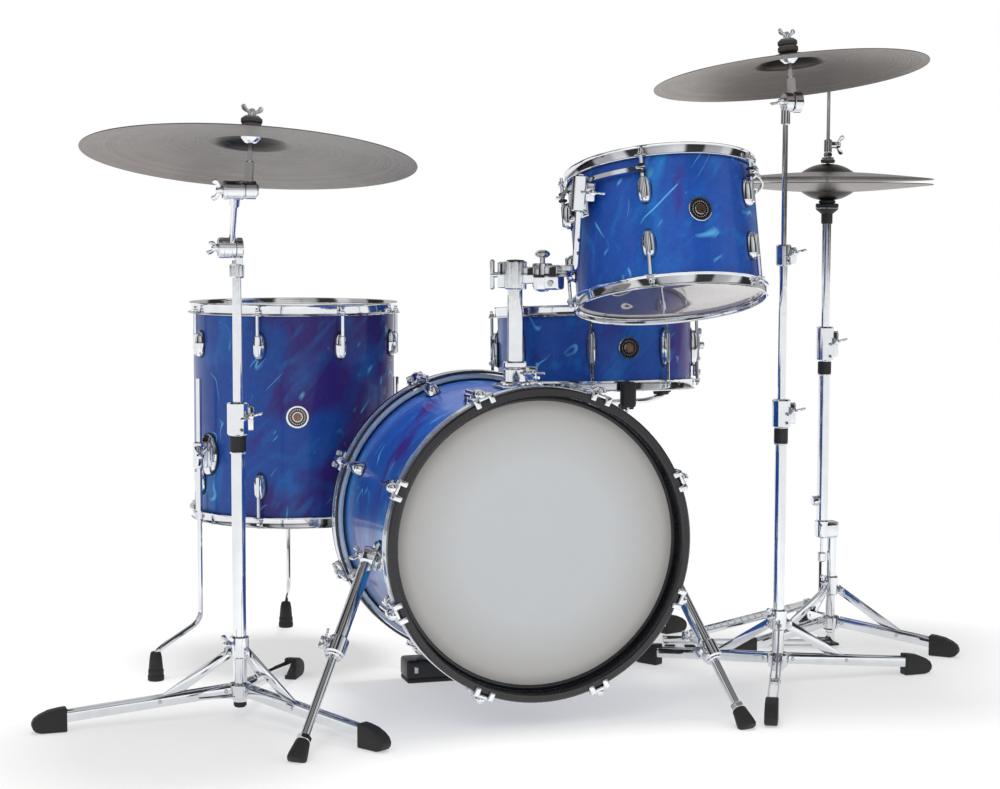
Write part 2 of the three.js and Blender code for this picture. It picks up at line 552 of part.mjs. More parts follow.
function rightStand() {
  const [x, y] = RIGHT_STAND;
  const group = assembly('right_cymbal_stand', [x, y, 0]);
  const base = fixedBase(RIGHT_LEG_ANGLE, 10, RIGHT_LOWER_TOP, RIGHT_LEG_REACH);
  const clamp = tubeClamp(16, RIGHT_LOWER_TOP - 50, 48, 0);
  const bore = at(rod(RIGHT_MID_RADIUS + BORE_GAP, RIGHT_LOWER_TOP), 0, 0, 150);
  add(group, 'right_stand_base', cut(fuse(base, clamp), bore), CHROME);
  const mid = cut(
    fuse(
      at(rod(RIGHT_MID_RADIUS, RIGHT_MID_TOP - 230), 0, 0, 230),
      tubeClamp(13, RIGHT_MID_TOP - 38, 36, 0),
    ),
    at(rod(RIGHT_ROD_RADIUS + BORE_GAP, RIGHT_MID_TOP), 0, 0, 480),
  );
  add(group, 'right_stand_middle_tube', mid, CHROME);
  const centre = RIDE_CENTRE.map((value, i) => value - [x, y, 0][i]);
  const tilter = along(centre, RIDE_NORMAL, -80);
  const cup = along(centre, RIDE_NORMAL, -8);
  const top = fuse(
    at(rod(RIGHT_ROD_RADIUS, tilter[2] - 560), 0, 0, 560),
    at(rod(7.5, 26), 0, 0, tilter[2] - 38),
    aim(rod(14, 30, DISC_FACETS), [-4, 0, tilter[2]], [1, 0, 0]),
    between(tilter, along(centre, RIDE_NORMAL, 40), 4),
    between(tilter, along(tilter, RIDE_NORMAL, 40), 8),
    aim(rod(15, 6, DISC_FACETS), along(cup, RIDE_NORMAL, -4), RIDE_NORMAL),
    aim(rod(14, 12, DISC_FACETS), along(centre, RIDE_NORMAL, 8), RIDE_NORMAL),
    aim(rod(13, 14, DISC_FACETS), along(centre, RIDE_NORMAL, 24), RIDE_NORMAL),
  );
  add(group, 'right_stand_cymbal_rod', top, CHROME);
  add(group, 'right_stand_cymbal', aim(cymbalBow(RIDE_RADIUS, 58, 22, 16), centre, RIDE_NORMAL), BRONZE);
  return group;
}

const HAT_LEG_ANGLE = -42.5;
const HAT_LEG_REACH = 242;
const HAT_BRACKET_Z = 220;
const HAT_LOWER_TOP = 533;
const HAT_UPPER_RADIUS = 8;
const HAT_ROD_RADIUS = 3.2;
const HAT_SEAT_Z = 827;
const HAT_PEDAL_ANGLE = 162;
const PEDAL_HINGE = [250, 16];    // distance from the rod and height of the heel pin
const PEDAL_RISE = 15;            // degrees from the floor
const HAT_FOOT_SHIFT = 20;        // the leg tube stands aside so the rod can run down to the pedal

// The stand's rod runs on the group's Z axis; the tube with the legs is set to its +X side.
function hiHat() {
  const [x, y] = HAT_STAND;
  const group = assembly('hi_hat', [x, y, 0]);
  const legs = at(fixedBase(HAT_LEG_ANGLE, 9.5, HAT_BRACKET_Z, HAT_LEG_REACH), HAT_FOOT_SHIFT, 0, 0);
  const bracket = at(block(38, 24, 30), HAT_FOOT_SHIFT / 2, 0, HAT_BRACKET_Z);
  const tube = at(rod(10.5, HAT_LOWER_TOP - HAT_BRACKET_Z), 0, 0, HAT_BRACKET_Z);
  const heel = spun(at(block(64, 56, 12), 262, 0, 6), HAT_PEDAL_ANGLE);
  const rail = (side) => spun(at(block(250, 4, 5), 127, side * 24, 5), HAT_PEDAL_ANGLE);
  const plate = fuse(at(block(36, 62, 6), 7, 0, 8), at(block(14, 14, 38), HAT_FOOT_SHIFT, 0, 24));
  const pin = rod(5, 48).rotateX(Math.PI / 2).translate(PEDAL_HINGE[0], 24, PEDAL_HINGE[1]);
  const hinge = spun(pin, HAT_PEDAL_ANGLE);
  const bore = fuse(
    at(rod(HAT_UPPER_RADIUS + BORE_GAP, HAT_LOWER_TOP), 0, 0, 250),
    at(rod(HAT_ROD_RADIUS + 0.8, HAT_LOWER_TOP), 0, 0, HAT_BRACKET_Z - 40),
  );
  const base = cut(
    fuse(legs, bracket, tube, tubeClamp(15, HAT_LOWER_TOP, 65, 0), heel, rail(1), rail(-1), plate, hinge),
    bore,
    at(block(30, 18, 24), -2, 0, 150),
  );
  add(group, 'hi_hat_base', base, CHROME);
  const upper = cut(
    fuse(
      at(rod(HAT_UPPER_RADIUS, HAT_SEAT_Z - 330), 0, 0, 330),
      at(rod(8.5, 24, 16, 15), 0, 0, HAT_SEAT_Z - 34),
      at(rod(17, 10, DISC_FACETS), 0, 0, HAT_SEAT_Z - 10),
    ),
    at(rod(HAT_ROD_RADIUS + 0.8, HAT_SEAT_Z), 0, 0, 300),
  );
  add(group, 'hi_hat_upper_tube', upper, CHROME);
  const bow = cymbalBow(HAT_RADIUS, 48, 12, 16);
  add(group, 'hi_hat_bottom_cymbal', at(bow.clone().rotateX(Math.PI), 0, 0, HAT_GAP_Z - 4 - 28), BRONZE);
  add(group, 'hi_hat_top_cymbal', at(bow, 0, 0, HAT_GAP_Z + 4 + 28), BRONZE);
  const clutchZ = HAT_GAP_Z + 32;
  const pull = fuse(
    at(rod(HAT_ROD_RADIUS, 1102 - 176), 0, 0, 176),
    at(rod(8, 16), 0, 0, 160),
    at(block(3, 6, 78), -2, 0, 124),
    at(rod(12, 9, DISC_FACETS), 0, 0, clutchZ + 2.4 + GAP),
    at(rod(7, 36), 0, 0, clutchZ + 8),
    at(rod(6, 10), 0, 0, clutchZ - 10),
    at(rod(9, 5), 0, 0, clutchZ - 6.8),
    at(block(12, 10, 12), 9, 0, clutchZ + 34),
  );
  add(group, 'hi_hat_pull_rod', pull, CHROME);
  const pedal = fuse(
    at(block(228, 40, 6), -122, 0, 4),
    at(block(14, 14, 14), -236, 0, 4),
  ).rotateY(PEDAL_RISE * RAD).translate(PEDAL_HINGE[0], 0, PEDAL_HINGE[1]).rotateZ(HAT_PEDAL_ANGLE * RAD);
  add(group, 'hi_hat_pedal', pedal, CHROME);
  return group;
}

const BASKET_Z = SNARE_CENTRE[2] - 126;
const BASKET_ANGLES = [-92, 28, 148];

function snareStand() {
  const [x, y, z] = SNARE_CENTRE;
  const group = assembly('snare_stand', [x, y, 0]);
  const base = fixedBase(20, 10.5, BASKET_Z - 60, 230);
  const seat = fuse(
    at(rod(6.5, 50), 0, 0, BASKET_Z - 70),
    aim(rod(14, 10, DISC_FACETS), [0, -12, BASKET_Z], [0, 1, 0]),
  );
  const link = at(block(16, 10, 30), 0, -7, BASKET_Z - 12);
  add(group, 'snare_stand_base', fuse(base, seat, link), CHROME);
  const low = -SNARE_DEPTH / 2 - 12 - GAP;
  const gripRadius = SNARE_RADIUS + 15;
  const arm = fuse(
    between([0, 0, 24], [gripRadius - 30, 0, z + low - 26 - BASKET_Z], 5),
    at(block(46, 22, 12), gripRadius - 12, 0, z + low - 28 - BASKET_Z),
    at(block(11, 22, 52), gripRadius + 6, 0, z + low - 8 - BASKET_Z),
  );
  const disc = aim(rod(14, 12, DISC_FACETS), [0, -2 + GAP, 0], [0, 1, 0]);
  const neck = at(block(16, 11, 26), 0, 4, 13);
  const hub = at(rod(16, 14, DISC_FACETS), 0, 0, 17);
  const basket = fuse(hub, disc, neck, ...BASKET_ANGLES.map((angle) => spun(arm, angle)));
  const drum = at(rod(SNARE_RADIUS + 10, SNARE_DEPTH + 40, DRUM_FACETS), 0, 0, -SNARE_DEPTH / 2 - 12 - GAP)
    .rotateX(-SNARE_TILT).translate(0, 0, z - BASKET_Z);
  add(group, 'snare_basket', at(cut(basket, drum), 0, 0, BASKET_Z), CHROME);
  return group;
}

function drumKit() {
  const kit = assembly('drum_kit');
  kit.add(bassDrum());
  bassRiser(kit);
  Object.keys(SPUR_PIVOTS).forEach((side) => spur(kit, side));
  tomPostBase(kit);
  tomHolder(kit);
  kit.add(rackTom());
  tomBracket(kit);
  kit.add(floorTom());
  kit.add(snareDrum());
  kit.add(snareStand());
  kit.add(leftStand());
  kit.add(rightStand());
  kit.add(hiHat());
  const box = new THREE.Box3().setFromObject(kit);
  kit.position.set(-(box.min.x + box.max.x) / 2, -(box.min.y + box.max.y) / 2, -box.min.z);
  return kit;
}

export default drumKit();
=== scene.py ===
"""Acoustic drum kit: bass drum, rack tom, floor tom, snare, two cymbal stands and a hi-hat.

Laid out as an add-on and run as a script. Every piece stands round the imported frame.
"""
import math

import bpy
from mathutils import Matrix, Vector


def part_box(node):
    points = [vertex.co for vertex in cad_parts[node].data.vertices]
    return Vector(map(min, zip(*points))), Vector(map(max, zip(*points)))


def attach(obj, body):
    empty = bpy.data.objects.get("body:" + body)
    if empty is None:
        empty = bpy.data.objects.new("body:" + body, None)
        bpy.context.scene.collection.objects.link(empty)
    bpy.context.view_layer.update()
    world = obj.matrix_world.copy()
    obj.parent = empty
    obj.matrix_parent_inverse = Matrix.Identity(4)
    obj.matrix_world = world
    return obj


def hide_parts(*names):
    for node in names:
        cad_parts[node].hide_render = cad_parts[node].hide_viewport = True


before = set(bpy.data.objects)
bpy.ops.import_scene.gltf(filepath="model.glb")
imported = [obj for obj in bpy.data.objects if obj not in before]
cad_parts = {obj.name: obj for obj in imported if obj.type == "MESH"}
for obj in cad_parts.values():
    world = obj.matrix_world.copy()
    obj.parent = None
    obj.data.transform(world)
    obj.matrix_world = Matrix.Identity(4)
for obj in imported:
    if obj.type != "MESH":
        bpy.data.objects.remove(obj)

bl_info = {
    "name": "Acoustic drum kit",
    "version": (1, 0, 0),
    "blender": (4, 5, 0),
    "location": "3D View > Sidebar > Drum kit",
    "description": "Models an acoustic drum kit round a packed frame",
    "category": "Object",
}

MM = 0.001
SHELL_LOW, SHELL_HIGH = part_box("bass_shell")
KIT = Matrix.Translation(((SHELL_LOW.x + SHELL_HIGH.x) / 2, (SHELL_LOW.y + SHELL_HIGH.y) / 2, 0))
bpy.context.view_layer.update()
RISER_LOW, RISER_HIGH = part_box("bass_riser")

X_AXIS, Y_AXIS, Z_AXIS = Vector((1, 0, 0)), Vector((0, 1, 0)), Vector((0, 0, 1))


# ---- places ----
def shift(x=0.0, y=0.0, z=0.0):
    return Matrix.Translation(Vector((x, y, z)) * MM)


def turned(degrees, axis="Z"):
    return Matrix.Rotation(math.radians(degrees), 4, axis)


def facing(at, along, side=None):
    """The place at a point whose Z runs along a direction and whose X leans to a side."""
    z = Vector(along).normalized()
    x = Vector(side) if side else (X_AXIS if abs(z.x) < 0.9 else Y_AXIS).copy()
    x = (x - x.dot(z) * z).normalized()
    place = Matrix((x, z.cross(x), z)).transposed().to_4x4()
    place.translation = Vector(at) * MM
    return place


SHELL_WALL = 7
THIRDS = (0, 120, 240)
BASS_HEIGHT, BASS_LUG_HEIGHT = 288, 122
BASS = shift(0, 0, BASS_HEIGHT) @ turned(90, "X")
BASS_RADIUS, BASS_EDGE, BASS_HOOP_RADIUS, BASS_HOOP_FACE = 228.6, 178, 245, 207.5
TOM = shift(267, -27, 762) @ Matrix.Rotation(-0.252, 4, "X")
TOM_RADIUS, TOM_EDGE = 152.4, 101.5
FLOOR_TOM_AT = (-267, 415)
FLOOR_TOM = shift(*FLOOR_TOM_AT, 454)
FLOOR_TOM_RADIUS, FLOOR_TOM_EDGE = 177.8, 178
SNARE_AT = (286, 374)
SNARE = shift(*SNARE_AT, 556) @ Matrix.Rotation(-0.06, 4, "X")
SNARE_RADIUS, SNARE_EDGE = 177.8, 63.5
TOM_LUG_ANGLES = [238.3, 310.3, 22.3, 94.3, 166.3]
FLOOR_TOM_LUG_ANGLES = [15 + 45 * k for k in range(8)]
SNARE_LUG_ANGLES = [249.3 + 45 * k for k in range(8)]
THROW_ANGLE, BUTT_ANGLE = -14, 166
BASS_CLAW_ANGLES = [22.5 + 45 * k for k in range(8)]
FLOOR_LEG_ANGLES = [203, 323, 83]


# ---- finishes ----
def node(tree, kind, inputs=None, **settings):
    """A shader node with its settings, and its inputs linked or set."""
    made = tree.nodes.new(kind)
    for name, value in settings.items():
        setattr(made, name, value)
    for name, value in (inputs or {}).items():
        if isinstance(value, bpy.types.NodeSocket):
            tree.links.new(value, made.inputs[name])
        else:
            made.inputs[name].default_value = value
    return made


def ramp(tree, value, stops):
    made = node(tree, "ShaderNodeValToRGB", {"Fac": value})
    elements = made.color_ramp.elements
    while len(elements) < len(stops):
        elements.new(0.5)
    for element, (place, colour) in zip(elements, stops):
        element.position = place
        element.color = tuple(colour)[:3] + (1.0,) if hasattr(colour, "__len__") else (colour,) * 3 + (1.0,)
    return made.outputs["Color"]


def start(name, **sockets):
    """A new material with the numbers that are the same all over it, and its object coordinates."""
    made = bpy.data.materials.new(name)
    made.use_nodes = True
    tree = made.node_tree
    shader = tree.nodes["Principled BSDF"]
    for socket, value in sockets.items():
        shader.inputs[socket.replace("_", " ")].default_value = value
    where = node(tree, "ShaderNodeTexCoord").outputs["Object"]
    return made, tree, shader, where


def noise(tree, where, scale, detail=2.0, distortion=0.0, kind="FBM"):
    made = node(tree, "ShaderNodeTexNoise", {
        "Vector": where, "Scale": scale, "Detail": detail, "Distortion": distortion}, noise_type=kind)
    return made.outputs[0]


def mixed(tree, share, first, second, blend="MIX"):
    made = node(tree, "ShaderNodeMix", data_type="RGBA", blend_type=blend)
    for socket, value in ((made.inputs[0], share), (made.inputs[6], first), (made.inputs[7], second)):
        if isinstance(value, bpy.types.NodeSocket):
            tree.links.new(value, socket)
        else:
            socket.default_value = value
    return made.outputs[2]


def dented(tree, shader, height, distance, strength=1.0):
    made = node(tree, "ShaderNodeBump", {"Height": height, "Distance": distance, "Strength": strength})
    tree.links.new(made.outputs[0], shader.inputs["Normal"])


def scaled(tree, where, scale, rotation=(0, 0, 0), location=(0, 0, 0)):
    return node(tree, "ShaderNodeMapping", {
        "Vector": where, "Scale": scale, "Rotation": rotation, "Location": location}).outputs[0]


def shade_of(colour, factor):
    return tuple(min(1.0, c * factor) for c in tuple(colour)[:3]) + (1.0,)


def multiplied(tree, value, factor, offset=0.0):
    return node(tree, "ShaderNodeMath", {0: value, 1: factor, 2: offset},
                operation="MULTIPLY_ADD").outputs[0]


def inside(tree, where, place):
    """Object coordinates seen from a place, by one Mapping node."""
    inverse = (KIT @ place).inverted()
    turn = inverse.to_3x3()
    return scaled(tree, where, (1, 1, 1), tuple(turn.to_euler("XYZ")), tuple(inverse.translation))


def from_axis(tree, where, place):
    """How far a point is from a place's Z axis."""
    flat = node(tree, "ShaderNodeVectorMath", {
        0: inside(tree, where, place), 1: (1, 1, 0)}, operation="MULTIPLY").outputs[0]
    return node(tree, "ShaderNodeVectorMath", {0: flat}, operation="LENGTH").outputs["Value"]


def leaning(tree, where, turn, stretch):
    """Coordinates drawn out along a line that leans in the drum's front view."""
    return scaled(tree, scaled(tree, where, (1, 1, 1), turn), (1.0, 1.0, stretch))


def pearl_wrap(name, colours, depth, violet_and_shade_from, place, side_shade):
    """A flame pearl wrap with wisps and thin pale strokes, and painted shade, set by the last argument, that
    makes it darker and more violet toward +X.
    """
    made, tree, shader, where = start(
        name, Metallic=0.2, Coat_Weight=0.3, Coat_Roughness=0.06, Coat_IOR=1.4,
        Specular_IOR_Level=0.3)
    clouds = noise(tree, leaning(tree, where, (0.1, -0.6, 0.0), 0.55), 7.0, 3.0, 0.8)
    # Painted shade: the clouds are pushed toward violet on the drum's +X side.
    across = node(tree, "ShaderNodeSeparateXYZ", {"Vector": where}).outputs["X"]
    middle = (KIT @ place).translation.x
    side_shade_slope = multiplied(tree, across, -side_shade, side_shade * middle)
    clouds = node(tree, "ShaderNodeMath", {0: clouds, 1: side_shade_slope}, operation="ADD").outputs[0]
    # Painted shade: depth darkens each drum's copy of the wrap, and a later violet start makes it more
    # violet.
    blue, violet, azure = (shade_of(shade, depth) for shade in (
        colours.shell_blue, colours.shell_violet, colours.shell_azure))
    base = ramp(tree, clouds, [
        (violet_and_shade_from, violet), (violet_and_shade_from + 0.11, blue), (violet_and_shade_from + 0.22, blue),
        (violet_and_shade_from + 0.37, azure)])
    wisps = ramp(tree, noise(tree, leaning(tree, where, (0.2, -0.7, 0.2), 0.3), 24.0, 2.5, 1.2), [
        (0.54, 0.0), (0.70, 0.45)])
    base = mixed(tree, wisps, base, azure)
    shimmer = ramp(tree, noise(tree, where, 75.0, 3.0, 1.5), [(0.3, 0.8), (0.7, 1.0)])
    base = mixed(tree, 1.0, base, shimmer, "MULTIPLY")
    ridges = noise(tree, leaning(tree, where, (0.15, -0.75, 0.1), 0.2), 17.0, 1.0, 0.9)
    strokes = ramp(tree, ridges, [(0.482, 0.0), (0.498, 0.7), (0.502, 0.7), (0.518, 0.0)])
    patches = ramp(tree, noise(tree, where, 19.0, 1.5, 0.6), [(0.56, 0.0), (0.68, 1.0)])
    share = mixed(tree, 1.0, strokes, patches, "MULTIPLY")
    colour = mixed(tree, share, base, shade_of(colours.shell_streak, 1.0))
    tree.links.new(colour, shader.inputs["Base Color"])
    rough = ramp(tree, clouds, [(0.3, 0.42), (0.7, 0.32)])
    tree.links.new(rough, shader.inputs["Roughness"])
    return made


def chrome_plate(name, colours, dark=1.0):
    """Polished plating with faint handling marks."""
    made, tree, shader, where = start(name, Metallic=1.0)
    tone = ramp(tree, noise(tree, where, 35.0, 3.0, 0.5), [
        (0.3, shade_of(colours.chrome, 0.93 * dark)), (0.7, shade_of(colours.chrome, dark))])
    tree.links.new(tone, shader.inputs["Base Color"])
    rough = ramp(tree, noise(tree, where, 90.0, 4.0, 1.0), [(0.35, 0.045), (0.75, 0.12)])
    tree.links.new(rough, shader.inputs["Roughness"])
    return made


def smooth_coat(name, colour, rough, grain, depth, coat=0.0, metallic=0.0):
    """An even material with a fine grain in its tone and surface."""
    made, tree, shader, where = start(
        name, Metallic=metallic, Coat_Weight=coat, Coat_Roughness=0.05)
    fine = noise(tree, where, grain, 4.0, 0.3)
    tone = ramp(tree, fine, [(0.3, shade_of(colour, 0.8)), (0.7, shade_of(colour, 1.08))])
    tree.links.new(tone, shader.inputs["Base Color"])
    roughness = ramp(tree, fine, [(0.3, rough * 0.85), (0.7, min(1.0, rough * 1.15))])
    tree.links.new(roughness, shader.inputs["Roughness"])
    dented(tree, shader, fine, depth)
    return made


def drum_film(name, middle, rim, radius, place, rough=0.42):
    """Coated film: a fine sprayed grain, and painted shade that darkens it toward the hoop, darkest right
    under it.
    """
    made, tree, shader, where = start(name, Subsurface_Weight=0.12, Subsurface_Scale=0.01)
    share = multiplied(tree, from_axis(tree, where, place), 1 / (radius * MM))
    # Painted shade: from the middle colour to the rim colour and its darker steps, the shade toward and under
    # the hoop.
    tone = ramp(tree, share, [
        (0.0, middle), (0.55, middle), (0.9, rim), (0.97, shade_of(rim, 0.72)), (1.0, shade_of(rim, 0.3))])
    fine = noise(tree, where, 900.0, 3.0)
    speck = ramp(tree, fine, [(0.3, 0.94), (0.7, 1.0)])
    tree.links.new(mixed(tree, 1.0, tone, speck, "MULTIPLY"), shader.inputs["Base Color"])
    shader.inputs["Roughness"].default_value = rough
    dented(tree, shader, fine, 0.00025)
    return made


def lathed_bronze(name, colours, place, dark=1.0):
    """Cymbal bronze with turned grooves round its middle, and painted shade that darkens its bell."""
    made, tree, shader, where = start(name, Metallic=1.0, Anisotropic=0.35)
    reach = from_axis(tree, where, place)
    groove, band = (node(tree, "ShaderNodeTexNoise", {
        "W": reach, "Scale": scale, "Detail": detail}, noise_dimensions="1D").outputs[0]
        for scale, detail in ((700.0, 3.0), (70.0, 2.0)))
    patina = noise(tree, where, 14.0, 3.0, 0.6)
    # Painted light and shade: dark makes this cymbal's copy of the bronze lighter or darker.
    tone = ramp(tree, band, [
        (0.3, shade_of(colours.bronze, 0.93 * dark)), (0.7, shade_of(colours.bronze, 1.05 * dark))])
    tone = mixed(tree, 1.0, tone, ramp(tree, patina, [(0.3, 0.84), (0.7, 1.0)]), "MULTIPLY")
    # Painted shade: the bell is darkened to about a fifth, the shade in its hollow round the sleeve.
    bell = ramp(tree, reach, [(0.046, 0.22), (0.062, 1.0)])
    tone = mixed(tree, 1.0, tone, bell, "MULTIPLY")
    tree.links.new(tone, shader.inputs["Base Color"])
    rough = ramp(tree, groove, [(0.3, 0.26), (0.7, 0.40)])
    tree.links.new(rough, shader.inputs["Roughness"])
    dented(tree, shader, groove, 0.00035, 0.7)
    return made


def clear_film(name, place):
    """Clear glossy film whose colour holds painted shade for the drum's dim inside behind it, and painted
    light that brightens it toward the drum's +X side.
    """
    made, tree, shader, where = start(
        name, Roughness=0.04, IOR=1.45, Coat_Weight=0.6, Coat_Roughness=0.02, Coat_IOR=1.4)
    local = inside(tree, where, place)
    # Painted light and shade: dark on the drum's -X side, light on its +X side.
    glow = node(tree, "ShaderNodeSeparateXYZ", {"Vector": local}).outputs["X"]
    tone = ramp(tree, multiplied(tree, glow, 3.0, 0.5), [
        (0.15, (0.10, 0.08, 0.08)), (0.5, (0.2, 0.165, 0.16)), (0.8, (0.55, 0.48, 0.47))])
    haze = ramp(tree, noise(tree, where, 12.0, 2.0, 0.4), [(0.3, 0.88), (0.7, 1.0)])
    tree.links.new(mixed(tree, 1.0, tone, haze, "MULTIPLY"), shader.inputs["Base Color"])
    return made


FINISHES = {}


def make_finishes(colours):
    """Every material that doesn't need a drum's or a cymbal's own place."""
    FINISHES.update({
        "chrome": chrome_plate("chrome", colours),
        "nickel": chrome_plate("nickel", colours, 0.72),
        # Painted light and shade: each drum gets its own copy of the wrap, darker by depth and a later violet
        # start, the floor tom darkest, and darker toward +X by the last number.
        "tom_pearl": pearl_wrap("tom_pearl", colours, 0.85, 0.31, TOM, 0.15),
        "bass_pearl": pearl_wrap("bass_pearl", colours, 0.85, 0.31, BASS, 0.0),
        "snare_pearl": pearl_wrap("snare_pearl", colours, 0.8, 0.37, SNARE, 0.75),
        "floor_pearl": pearl_wrap("floor_pearl", colours, 0.75, 0.44, FLOOR_TOM, 0.8),
        "inlay_and_highlight": smooth_coat("inlay_and_highlight", colours.inlay_and_highlight, 0.22, 40.0, 0.0001, 1.0, 0.5),
        "lacquer": smooth_coat("lacquer", (0.006, 0.006, 0.008), 0.28, 55.0, 0.00005, 0.25),
        "rubber": smooth_coat("rubber", (0.014, 0.014, 0.015), 0.62, 420.0, 0.0003),
        "plastic": smooth_coat("plastic", (0.012, 0.012, 0.013), 0.38, 260.0, 0.0001),
        "felt": smooth_coat("felt", (0.055, 0.052, 0.05), 0.95, 800.0, 0.0008),
        "white_felt": smooth_coat("white_felt", (0.62, 0.6, 0.57), 0.95, 800.0, 0.0008),
        "maple": smooth_coat("maple", (0.42, 0.27, 0.15), 0.5, 30.0, 0.0002),
        "copper": smooth_coat("copper", (0.30, 0.17, 0.12), 0.3, 150.0, 0.0001, 0.0, 1.0),
        "enamel": smooth_coat("enamel", (0.008, 0.008, 0.009), 0.18, 120.0, 0.00005, 1.0),
    })


# ---- modelling ----
def only(*pieces):
    bpy.ops.object.select_all(action="DESELECT")
    for each in pieces:
        each.select_set(True)
    bpy.context.view_layer.objects.active = pieces[0]


def editing(piece):
    only(piece)
    bpy.ops.object.mode_set(mode="EDIT")
    bpy.ops.mesh.select_all(action="SELECT")


def modelled():
    bpy.ops.object.mode_set(mode="OBJECT")
    return bpy.context.view_layer.objects.active


def coated(piece, material):
    piece.data.materials.clear()
    piece.data.materials.append(FINISHES[material])
    return piece


def put(piece, place):
    """Moves a piece's mesh to a place, and leaves its object at the origin."""
    only(piece)
    piece.matrix_world = place @ piece.matrix_world
    bpy.ops.object.transform_apply(location=True, rotation=True, scale=True)
    return piece


def traced(points):
    """Starts a mesh as one vertex and draws it out through the points."""
    bpy.ops.object.select_all(action="DESELECT")
    bpy.ops.mesh.primitive_plane_add(size=MM)
    bpy.ops.object.mode_set(mode="EDIT")
    bpy.ops.mesh.select_all(action="SELECT")
    bpy.ops.mesh.merge(type="CENTER")
    points = [Vector(point) * MM for point in points]
    bpy.ops.transform.translate(value=points[0])
    for before, after in zip(points, points[1:]):
        bpy.ops.mesh.extrude_vertices_move(TRANSFORM_OT_translate={"value": after - before})
    bpy.ops.mesh.select_all(action="SELECT")


def closed_up():
    bpy.ops.mesh.select_all(action="SELECT")
    bpy.ops.mesh.remove_doubles(threshold=2e-6)
    bpy.ops.mesh.normals_make_consistent(inside=False)


def lathe(profile, material, steps=32, ring=False):
    """A turned piece about Z from [radius, height] pairs."""
    points = [(radius, 0, height) for radius, height in profile]
    if ring:
        points.append(points[0])
    traced(points)
    bpy.ops.mesh.spin(steps=steps, angle=math.tau, center=(0, 0, 0), axis=(0, 0, 1))
    closed_up()
    return coated(modelled(), material)


def bar(radius, length, material, chamfer=0.7, steps=20, foot=0.0):
    """A round bar standing on z = foot, with its ends broken."""
    return lathe([
        (0, foot), (radius - chamfer, foot), (radius, foot + chamfer),
        (radius, foot + length - chamfer), (radius - chamfer, foot + length), (0, foot + length),
    ], material, steps)


def collar(outer, inner, low, high, material, chamfer=0.8, steps=28):
    """A ring with broken outer corners."""
    return lathe([
        (inner, low), (outer - chamfer, low), (outer, low + chamfer),
        (outer, high - chamfer), (outer - chamfer, high), (inner, high),
    ], material, steps, ring=True)


def strut(start_at, end_at, radius, material, chamfer=0.6, steps=20):
    reach = Vector(end_at) - Vector(start_at)
    return put(bar(radius, reach.length, material, chamfer, steps), facing(start_at, reach))


def rounded(piece, width, segments=2, angle=30.0):
    only(piece)
    bevel = piece.modifiers.new("edges", "BEVEL")
    bevel.width = width * MM
    bevel.segments = segments
    bevel.limit_method = "ANGLE"
    bevel.angle_limit = math.radians(angle)
    bpy.ops.object.modifier_apply(modifier=bevel.name)
    return piece


def brick(size, middle, material, edge=1.2, segments=2):
    """A block with rounded edges."""
    bpy.ops.object.select_all(action="DESELECT")
    bpy.ops.mesh.primitive_cube_add(size=1)
    editing(bpy.context.object)
    bpy.ops.transform.resize(value=Vector(size) * MM)
    bpy.ops.transform.translate(value=Vector(middle) * MM)
    return rounded(coated(modelled(), material), edge, segments)


def plate(outline, low, high, material, edge=0.8, segments=2):
    """A flat outline in XY drawn up between two heights."""
    traced([(x, y, low) for x, y in outline] + [(outline[0][0], outline[0][1], low)])
    bpy.ops.mesh.remove_doubles(threshold=2e-6)
    bpy.ops.mesh.edge_face_add()
    bpy.ops.mesh.extrude_region_move(TRANSFORM_OT_translate={"value": (0, 0, (high - low) * MM)})
    closed_up()
    return rounded(coated(modelled(), material), edge, segments)


def arc_bar(radius, low, high, thick, first, last, material, steps=40):
    """A flat bar bent round Z between two angles."""
    outer = radius + thick
    traced([(radius, 0, low), (outer, 0, low), (outer, 0, high), (radius, 0, high), (radius, 0, low)])
    bpy.ops.mesh.remove_doubles(threshold=2e-6)
    bpy.ops.mesh.edge_face_add()
    bpy.ops.mesh.spin(steps=steps, angle=math.radians(first - last), center=(0, 0, 0), axis=(0, 0, 1))
    closed_up()
    return put(coated(modelled(), material), turned(first))


def wire(points, radius, material, bend=12.0, sides=3, turns=6):
    """A round rod bent through points, its corners rounded."""
    path = [Vector(points[0])]
    for before, corner, after in zip(points, points[1:], points[2:]):
        corner = Vector(corner)
        into = (corner - Vector(before)).normalized()
        out = (Vector(after) - corner).normalized()
        room = min((corner - Vector(before)).length, (Vector(after) - corner).length) * 0.45
        cut = min(bend, room)
        for step in range(turns + 1):
            share = step / turns
            near = corner - into * cut * (1 - share)
            far = corner + out * cut * share
            path.append(near.lerp(far, share))
    path.append(Vector(points[-1]))
    bpy.ops.object.select_all(action="DESELECT")
    curve = bpy.data.curves.new("wire", "CURVE")
    curve.dimensions = "3D"
    curve.bevel_depth = radius * MM
    curve.bevel_resolution = sides
    curve.use_fill_caps = True
    line = curve.splines.new("POLY")
    line.points.add(len(path) - 1)
    for point, place in zip(line.points, path):
        point.co = (*(place * MM), 1)
    made = bpy.data.objects.new("wire", curve)
    bpy.context.scene.collection.objects.link(made)
    only(made)
    bpy.ops.object.convert(target="MESH")
    editing(bpy.context.object)
    closed_up()
    return coated(modelled(), material)


def stretched(piece, x=1.0, y=1.0):
    """Widens a piece about the origin along X and Y."""
    editing(piece)
    bpy.ops.transform.resize(value=(x, y, 1))
    return modelled()


def hollowed(piece, drill):
    """Takes a solid out of a piece."""
    only(piece)
    cut = piece.modifiers.new("cut", "BOOLEAN")
    cut.operation = "DIFFERENCE"
    cut.object = drill
    cut.solver = "EXACT"
    bpy.ops.object.modifier_apply(modifier=cut.name)
    discard(drill)


